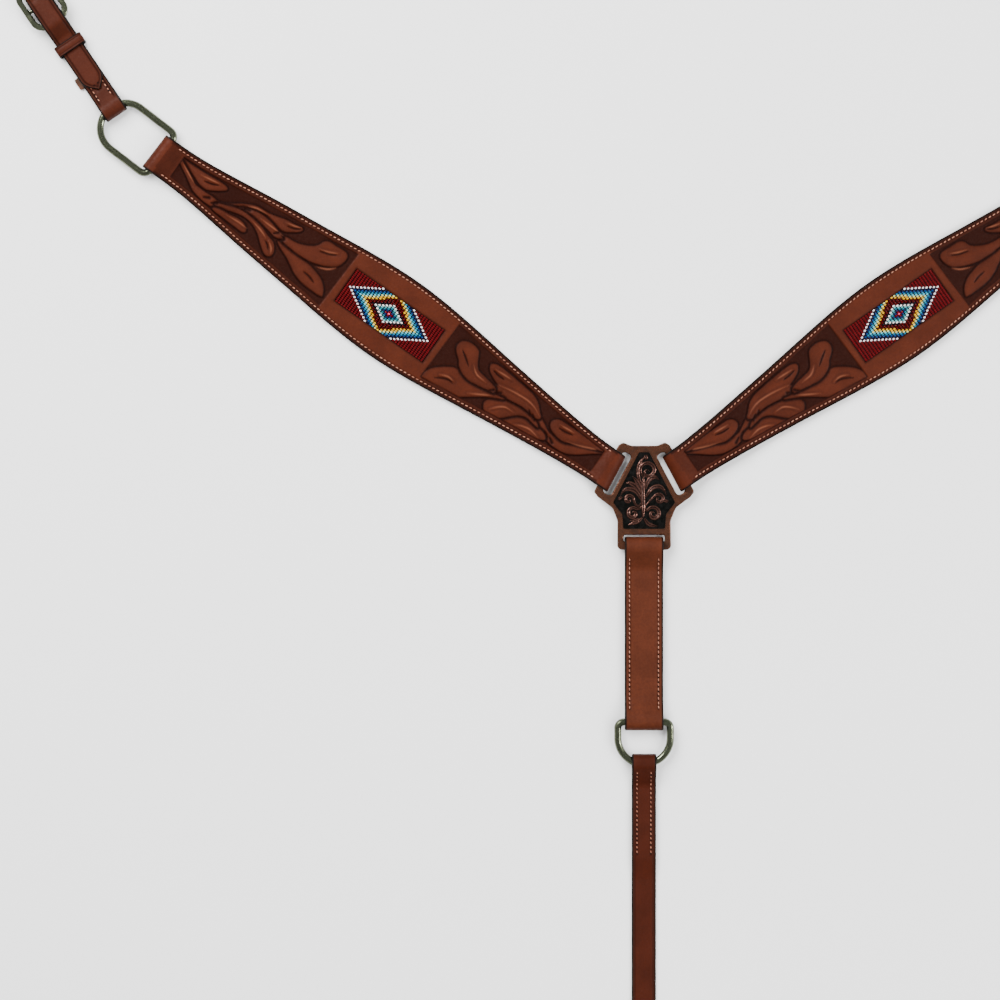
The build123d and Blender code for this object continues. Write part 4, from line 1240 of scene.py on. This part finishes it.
def stitch_tree():
    """The stitch builder: a line in, threads out."""
    tree, given, result = new_group(
        "stitch_row",
        [
            ("Geometry", GEOMETRY, None), ("Pitch", FLOAT, 0.003), ("Length", FLOAT, 0.0022),
            ("Thickness", FLOAT, 0.0008), ("Slant", FLOAT, 0.2), ("Thread", MATERIAL, None),
        ],
        [("Geometry", GEOMETRY)],
        kind="GeometryNodeTree",
    )
    line = add_node(tree, "GeometryNodeMeshToCurve", {"Mesh": given.outputs["Geometry"]}).outputs["Curve"]
    spots = add_node(
        tree, "GeometryNodeCurveToPoints", {"Curve": line, "Length": given.outputs["Pitch"]}, mode="LENGTH"
    )
    facing = add_node(
        tree, "FunctionNodeAlignRotationToVector", {"Vector": spots.outputs["Tangent"]}, axis="X"
    )
    wobble = add_node(
        tree, "FunctionNodeRandomValue", {2: -0.12, 3: 0.12, "Seed": 7}, data_type="FLOAT"
    ).outputs[1]
    slant = add_node(
        tree, "ShaderNodeCombineXYZ", {"Z": maths(tree, "ADD", given.outputs["Slant"], wobble)}
    ).outputs[0]
    turn = add_node(
        tree, "FunctionNodeRotateRotation", {"Rotation": facing.outputs["Rotation"], "Rotate By": slant},
        rotation_space="LOCAL",
    ).outputs[0]
    size = [given.outputs[label] for label in ("Length", "Thickness", "Thickness")]
    threads = laid_on(tree, spots.outputs["Points"], size, given.outputs["Thread"], Rotation=turn)
    tree.links.new(threads, result.inputs[0])
    return tree


def grown(name, points, edges, tree, **inputs):
    """A mesh put through a geometry tree, as a plain mesh object."""
    seed_mesh = bpy.data.meshes.new(name + "_lines")
    seed_mesh.from_pydata([tuple(p) for p in points], edges, [])
    seed_object = bpy.data.objects.new(name + "_lines", seed_mesh)
    bpy.context.scene.collection.objects.link(seed_object)
    modifier = seed_object.modifiers.new("grow", "NODES")
    modifier.node_group = tree
    for item in tree.interface.items_tree:
        label = item.name.replace(" ", "_")
        if item.in_out == "INPUT" and label in inputs:
            modifier[item.identifier] = inputs[label]
    evaluated = seed_object.evaluated_get(bpy.context.evaluated_depsgraph_get())
    mesh = bpy.data.meshes.new_from_object(evaluated)
    mesh.name = name
    seed_object.modifiers.remove(modifier)
    bpy.data.objects.remove(seed_object)
    made = bpy.data.objects.new(name, mesh)
    bpy.context.scene.collection.objects.link(made)
    print(name, len(mesh.polygons), "faces")
    return made


stitches = stitch_tree()


def top_of(place, way, thickness, face_side=1):
    """The height of a strap's face along it."""
    face = way[:, 0] * face_side > 0.5
    order = np.argsort(place[face, 0])
    at, height = place[face, 0][order], place[face, 1][order] + thickness / 2
    return lambda along: np.interp(along, at, height)


def rows_of_points(strap_lay, rows):
    """Lines of stitching as points and edges. Each row gives its places along, across and up."""
    points, edges = [], []
    for along, across, up in rows:
        start = len(points)
        points.extend(placed(strap_lay, along, across, up))
        edges.extend((start + k, start + k + 1) for k in range(len(along) - 1))
    return points, edges


def both_edges(along, across, top, sunk, shear=0.0):
    """Two rows of stitching, as far from the middle on either side and a little sunk into the leather."""
    return [(along, hand * across, top(along - shear * hand * across) - sunk) for hand in (1, -1)]


THREAD = dict(
    Pitch=STITCH_PITCH * MM, Length=2.15 * MM, Thickness=0.78 * MM, Slant=0.16, Thread=thread_material
)
SEAM_STEP = 1.5
DROP_SEAM = 9.6
NARROW_SEAM = 4.6
UNDER_LINING = 0.02

wing_top = top_of(wing_place, wing_way, WING_LEATHER)
row_at = np.arange(FIRST_STITCH, LAST_STITCH, SEAM_STEP)
row_half = wing_half(row_at) - STITCH_INSET
wing_rows = both_edges(row_at, row_half, wing_top, 0.12, shear=wing_shear(row_at))
wing_rows += [(row_at[8:-8], hand * row_half[8:-8], UNDER_LINING) for hand in (1, -1)]
for side in SIDES:
    thread = grown(side + "_wing_stitches", *rows_of_points(wing_lay[side], wing_rows), stitches, **THREAD)
    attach(thread, side + "_wing")

drop_rows = both_edges(
    np.arange(9.5, DROP_LENGTH - 9, SEAM_STEP), DROP_SEAM, top_of(*drop_stations[::2], WING_LEATHER), 0.1
)
drop_thread = grown(
    "drop_strap_stitches", *rows_of_points(drop_lay, drop_rows), stitches,
    **{**THREAD, "Pitch": DROP_PITCH * MM},
)
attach(drop_thread, "drop_strap")

girth_top = top_of(*girth_stations[::2], STRAP_LEATHER)
girth_rows = []
for start, end in ((7, 61), (GIRTH_LENGTH - 61, GIRTH_LENGTH - 7)):
    girth_rows += both_edges(np.arange(start, end, SEAM_STEP), NARROW_SEAM, girth_top, 0.08)
girth_thread = grown(
    "girth_strap_stitches", *rows_of_points(girth_lay, girth_rows), stitches,
    **{**THREAD, "Pitch": NARROW_PITCH * MM, "Length": 1.9 * MM, "Thickness": 0.7 * MM},
)
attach(girth_thread, "girth_strap")

below_tip = tug_place[:, 0] < BILLET_TIP - 0.5
tug_top = top_of(tug_place[below_tip], tug_way[below_tip], STRAP_LEATHER, face_side=-1)
tug_rows = both_edges(np.arange(9.5, BILLET_TIP + 3.5, 0.5), NARROW_SEAM, tug_top, 0.06)
for side in SIDES:
    tug_thread = grown(
        side + "_tug_stitches", *rows_of_points(tug_lay[side], tug_rows), stitches,
        **{**THREAD, "Pitch": NARROW_PITCH * MM},
    )
    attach(tug_thread, side + "_tug")

# %% [markdown]
# ## The beads
# The inlay is loomed glass beads: columns of small rounded tubes, each held by the thread that runs through
# it. Geometry Nodes sets one bead on each crossing and stores its ring, counted in steps from the middle of
# the diamond. The diamond's three zones have their own slopes, so each counts the steps across a little
# differently. The material turns the ring's number into its colour.

# %% Geometry nodes: the bead field
BEAD_PITCH_ALONG = 2.08
BEAD_ROWS = 20
BEAD_COLUMNS = int(WINDOW_LENGTH // BEAD_PITCH_ALONG)
BEAD_PITCH_ACROSS = (WINDOW_WIDTH - 0.4) / BEAD_ROWS
DIAMOND = (
    (225, 70, 110), (96, 4, 18), (16, 28, 78), (20, 96, 112), (84, 160, 164), (232, 226, 222), (4, 5, 16),
    (72, 2, 3), (66, 2, 2), (200, 148, 24), (190, 196, 130), (70, 164, 182), (22, 108, 136), (14, 52, 104),
    (3, 6, 34), (232, 218, 222), (84, 1, 5),
)
GROUND_RING = len(DIAMOND) - 1.0
OUTER_FROM = 11.0
INNER_ZONES = ((10.5, 7.0, 0.9), (6.5, 0.0, 1.1))
BEAD_HEIGHT = 1.45
JITTER = np.array((0.08, 0.05, 0.08)) * MM

bead_material, bead_tree, bead_shader = new_material("glass_beads")
bead_ring = attribute(bead_tree, "ring")
ramp_place = maths(bead_tree, "DIVIDE", bead_ring, float(len(DIAMOND)))
ramp = add_node(bead_tree, "ShaderNodeValToRGB", {0: ramp_place})
ramp.color_ramp.interpolation = "CONSTANT"
while len(ramp.color_ramp.elements) < len(DIAMOND):
    ramp.color_ramp.elements.new(0.99)
for ring, (element, colour) in enumerate(zip(ramp.color_ramp.elements, DIAMOND)):
    element.position = max(0.0, (ring - 0.5) / len(DIAMOND))
    element.color = rgb(*colour)
bead_tone = attribute(bead_tree, "tone")
bead_dark = maths(bead_tree, "MULTIPLY", bead_tone, 0.28)
bead_colour = mix_colours(bead_tree, bead_dark, ramp.outputs[0], rgb(16, 1, 4))
bead_tree.links.new(bead_colour, bead_shader.inputs["Base Color"])
ground_bead = between(bead_tree, bead_ring, GROUND_RING - 0.8, GROUND_RING - 0.2)
bead_roughness = maths(
    bead_tree, "ADD", between(bead_tree, bead_tone, 0.0, 1.0, 0.2, 0.34),
    maths(bead_tree, "MULTIPLY", ground_bead, 0.45),
)
bead_tree.links.new(bead_roughness, bead_shader.inputs["Roughness"])
bead_shader.inputs["Specular IOR Level"].default_value = 0.22


def bead_field_tree():
    """The bead builder: spots in, beads out, each with its ring and its tone."""
    tree, given, result = new_group(
        "bead_loom",
        [
            ("Geometry", GEOMETRY, None), ("Pitch Along", FLOAT, 0.002), ("Pitch Across", FLOAT, 0.0013),
            ("Height", FLOAT, 0.0012), ("Seed", "NodeSocketInt", 3), ("Glass", MATERIAL, None),
        ],
        [("Geometry", GEOMETRY)],
        kind="GeometryNodeTree",
    )
    position = add_node(tree, "GeometryNodeInputPosition").outputs[0]
    place = add_node(tree, "ShaderNodeSeparateXYZ", {0: position})
    steps = []
    for axis, pitch in (("X", "Pitch Along"), ("Y", "Pitch Across")):
        step = maths(tree, "DIVIDE", place.outputs[axis], given.outputs[pitch])
        steps.append(maths(tree, "ABSOLUTE", maths(tree, "ROUND", step)))
    ring = maths(tree, "MAXIMUM", maths(tree, "ADD", *steps), OUTER_FROM)
    for last, least, slope in INNER_ZONES:
        nearer = maths(tree, "ADD", steps[0], maths(tree, "MULTIPLY", steps[1], slope))
        nearer = maths(tree, "MAXIMUM", nearer, least)
        inside = maths(tree, "LESS_THAN", nearer, last)
        change = maths(tree, "MULTIPLY", inside, maths(tree, "SUBTRACT", nearer, ring))
        ring = maths(tree, "ADD", ring, change)
    ring = maths(tree, "MINIMUM", ring, GROUND_RING)
    seed = given.outputs["Seed"]
    tone = add_node(tree, "FunctionNodeRandomValue", {"Seed": seed}, data_type="FLOAT").outputs[1]
    marked = given.outputs["Geometry"]
    for label, value in (("ring", ring), ("tone", tone)):
        marked = add_node(
            tree, "GeometryNodeStoreNamedAttribute", {"Geometry": marked, "Name": label, "Value": value},
            data_type="FLOAT", domain="POINT",
        ).outputs[0]
    jitter = add_node(
        tree, "FunctionNodeRandomValue", {0: tuple(-JITTER), 1: tuple(JITTER), "Seed": seed},
        data_type="FLOAT_VECTOR",
    ).outputs[0]
    spread = add_node(tree, "GeometryNodeSetPosition", {"Geometry": marked, "Offset": jitter}).outputs[0]
    size = (
        maths(tree, "MULTIPLY", given.outputs["Pitch Along"], 0.9),
        maths(tree, "MULTIPLY", given.outputs["Pitch Across"], 1.04),
        given.outputs["Height"],
    )
    tree.links.new(laid_on(tree, spread, size, given.outputs["Glass"]), result.inputs[0])
    return tree


bead_loom = bead_field_tree()
bead_low, bead_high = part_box("right_bead_panel")
BEAD_MIDDLE = (bead_low.z + bead_high.z) / 2 / MM + 0.05
bead_spots = [
    ((i - BEAD_COLUMNS // 2) * BEAD_PITCH_ALONG * MM, (j - BEAD_ROWS // 2) * BEAD_PITCH_ACROSS * MM, 0)
    for i in range(BEAD_COLUMNS) for j in range(BEAD_ROWS)
]
bead_shift = [-sum(p[axis] for p in bead_spots) / len(bead_spots) / MM for axis in (0, 1)]
for side in SIDES:
    beads = grown(
        side + "_beads", bead_spots, [], bead_loom, Pitch_Along=BEAD_PITCH_ALONG * MM,
        Pitch_Across=BEAD_PITCH_ACROSS * MM, Height=BEAD_HEIGHT * MM, Seed=3 + SIDES.index(side),
        Glass=bead_material,
    )
    count = len(beads.data.vertices)
    local = np.zeros(count * 3)
    beads.data.vertices.foreach_get("co", local)
    local = local.reshape(-1, 3) / MM
    at = placed(
        wing_lay[side], WINDOW_AT + bead_shift[0] + local[:, 0], bead_shift[1] + local[:, 1],
        BEAD_MIDDLE + local[:, 2],
    )
    beads.data.vertices.foreach_set("co", at.ravel())
    if wing_lay[side][2] < 0:
        beads.data.flip_normals()
    beads.data.update()
    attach(beads, side + "_wing")
    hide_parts(side + "_bead_panel")
print("beads on each wing", len(bead_spots))

# %% [markdown]
# ## The scrollwork on the plate
# The plate carries a spray of raised scrolls over black enamel. Each is a half-round bead of metal whose width
# swells and tapers along a curve, so a helper draws one from points along its middle line.

# %% Build the scrolls
SCROLL_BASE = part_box("enamel_fill")[1].z / MM - 0.1
MIDDLE_OVER_BAR = 31.5
PLATE_MIDDLE = float(hinge_point("drop_strap_pivot")[1]) + MIDDLE_OVER_BAR
ARCH = 9
START_SHARE = 0.35
END_SHARE = 0.12
GROOVED_FROM = 1.3
CURL_POINTS = 14
CURL_CLOSING = 0.068


def scroll(points, width, height):
    """A half-round raised scroll: its points, its faces and how much painted shade darkens each point."""
    line = rounded_line(points, closed=False, per=6)
    way = np.gradient(line, axis=0)
    way /= np.hypot(*way.T)[:, None]
    side_way = np.stack([-way[:, 1], way[:, 0]], -1)
    share = np.linspace(0, 1, len(line))
    swell = START_SHARE + (1 - START_SHARE) * np.sin(np.pi / 2 * np.clip(share / 0.45, 0, 1))
    swell *= 1 - (1 - END_SHARE) * fade(share, 0.55, 1.0)
    angles = np.linspace(0, np.pi, ARCH)
    middle = np.exp(-(np.cos(angles) / 0.3) ** 2)
    across = np.cos(angles)[None, :] * (width * 0.84 * swell)[:, None]
    rise = np.sin(angles)[None, :] * (height * (0.45 + 0.55 * swell))[:, None]
    rise = rise - (0.5 * middle * height)[None, :] * (width > GROOVED_FROM)
    places = line[:, None, :] + across[:, :, None] * side_way[:, None, :]
    solid = np.concatenate([places, (SCROLL_BASE + rise)[:, :, None]], -1).reshape(-1, 3)
    rows, faces = len(line), []
    for i in range(rows - 1):
        for j in range(ARCH):
            k = (j + 1) % ARCH
            faces.append((i * ARCH + j, i * ARCH + k, (i + 1) * ARCH + k, (i + 1) * ARCH + j))
    faces.append(tuple(range(ARCH)))
    faces.append(tuple((rows - 1) * ARCH + j for j in range(ARCH)))
    # Painted shade darkens each scroll along its crest, where most have a groove, and at its feet against the
    # enamel.
    dark = middle + fade(np.abs(np.cos(angles)), 0.8, 1.0)
    return solid, faces, np.tile(np.clip(dark, 0, 1), rows)


def curl(middle, radius, first, turns):
    """Points of a curl that winds in towards its middle."""
    points = []
    for k in range(CURL_POINTS):
        reach, angle = radius * (1 - CURL_CLOSING * k), math.radians(first + 360 * turns * k / (CURL_POINTS - 1))
        points.append((middle[0] + reach * math.cos(angle), middle[1] + reach * math.sin(angle)))
    return points


SCROLLS = (
    ([(-0.6, -4.0), (-1.8, -6.4), *curl((-7.4, -10.4), 4.2, 45, 1.35)], 1.7, 1.1),
    ([(-0.2, -4.6), (0.6, -7.4), *curl((6.2, -10.6), 4.9, 150, -1.35)], 1.8, 1.1),
    ([(-1.8, -3.2), (-3.4, -5.4), (-5.6, -4.4), *curl((-10.1, -1.2), 3.3, -10, 1.25)], 1.5, 1.0),
    ([(1.2, -5.2), (3.6, -2.2), (6.0, 0.2), *curl((9.9, -0.8), 3.5, 140, -1.25)], 1.5, 1.0),
    ([(-1.6, -1.8), (-3.0, 0.8), (-5.2, 3.8), (-8.2, 5.5), (-12.0, 5.6), (-14.6, 3.4), (-15.6, 0.8)],
     1.9, 1.1),
    ([(-1.4, 0.8), (-3.8, 4.8), (-6.4, 8.0), (-9.8, 9.9), (-12.0, 9.2)], 2.0, 1.1),
    ([(-1.2, 3.8), (-3.2, 7.6), (-5.2, 11.2), (-7.8, 14.4)], 1.9, 1.1),
    ([(1.0, 0.4), (3.4, 4.2), (6.6, 7.0), (10.4, 7.4), (13.2, 5.0), (14.6, 1.6)], 1.9, 1.1),
    ([(0.8, 5.6), (2.0, 9.6), (4.4, 12.8), (7.6, 13.6), (10.0, 11.6)], 2.0, 1.1),
    ([(-0.9, 8.0), (-3.2, 12.0), (-4.2, 16.8), (-3.4, 21.6), (-1.2, 25.4), (0.9, 27.6)], 1.6, 1.1),
    ([(-0.4, 13.0), (-2.4, 17.8), (-1.2, 21.6), (2.6, 23.0), (6.0, 20.8), (6.5, 17.2), (4.2, 14.4),
      (1.2, 14.6), (0.4, 17.0), (2.2, 18.6), (3.8, 17.2)], 1.7, 1.1),
    ([(-0.9, -13.0), (-0.5, -8.0), (-0.7, -3.0), (-1.0, 5.0), (-0.6, 11.4), (0.2, 14.2)], 1.9, 1.2),
    ([(-1.4, -13.2), (-3.8, -15.6), (-8.0, -17.0), (-10.9, -18.4)], 1.6, 1.0),
    ([(-3.4, -13.6), (-6.0, -15.0), (-9.6, -15.2)], 1.2, 0.8),
    ([(0.2, -13.6), (2.3, -16.8), (5.0, -18.2), (9.2, -18.8)], 1.7, 1.0),
    ([(12.6, -1.4), (14.6, -2.2), (16.4, -2.2)], 1.4, 0.9),
    ([(-14.6, 0.6), (-16.4, -0.6), (-17.4, -0.9)], 1.4, 0.9),
    ([(0.8, 28.4), (1.2, 26.6), (0.7, 24.8)], 1.9, 1.1),
)
scroll_points, scroll_faces, scroll_shade = [], [], []
for points, width, height in SCROLLS:
    solid, faces, dark = scroll(points, width, height)
    scroll_shade += dark.tolist()
    scroll_faces += [tuple(k + len(scroll_points) for k in face) for face in faces]
    scroll_points += solid.tolist()
scroll_points = np.array(scroll_points)
scroll_points[:, 1] += PLATE_MIDDLE
scrolls = finished_object(
    "plate_scrolls", scroll_points * MM, scroll_faces, {"dye": scroll_shade}, scroll_copper
)
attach(scrolls, "centre")
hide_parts("scrollwork")

# %% [markdown]
# ## Finishing the CAD pieces
# Rings, buckles, snap, plate, enamel, linings, backing cloth and tabs already have their right shape in the
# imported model, so they keep it and only take their finish.

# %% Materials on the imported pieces
FINISH_BY_NODE = {
    "centre_plate": antique_copper, "enamel_fill": black_enamel, "wing_lining": lining_leather,
    "bead_backing": backing_cloth, "ring": antique_nickel, "tug_tab": tab_leather,
    "buckle_frame": antique_nickel, "buckle_tongue": antique_nickel, "dee": antique_nickel,
    "snap_eye": antique_nickel, "snap_body": antique_nickel, "snap_bolt": antique_nickel,
    "snap_spring": spring_steel,
}
for name, node in frame["nodes"].items():
    plain = name.replace("left_", "").replace("right_", "")
    if plain in FINISH_BY_NODE:
        node.data.materials.clear()
        node.data.materials.append(FINISH_BY_NODE[plain])
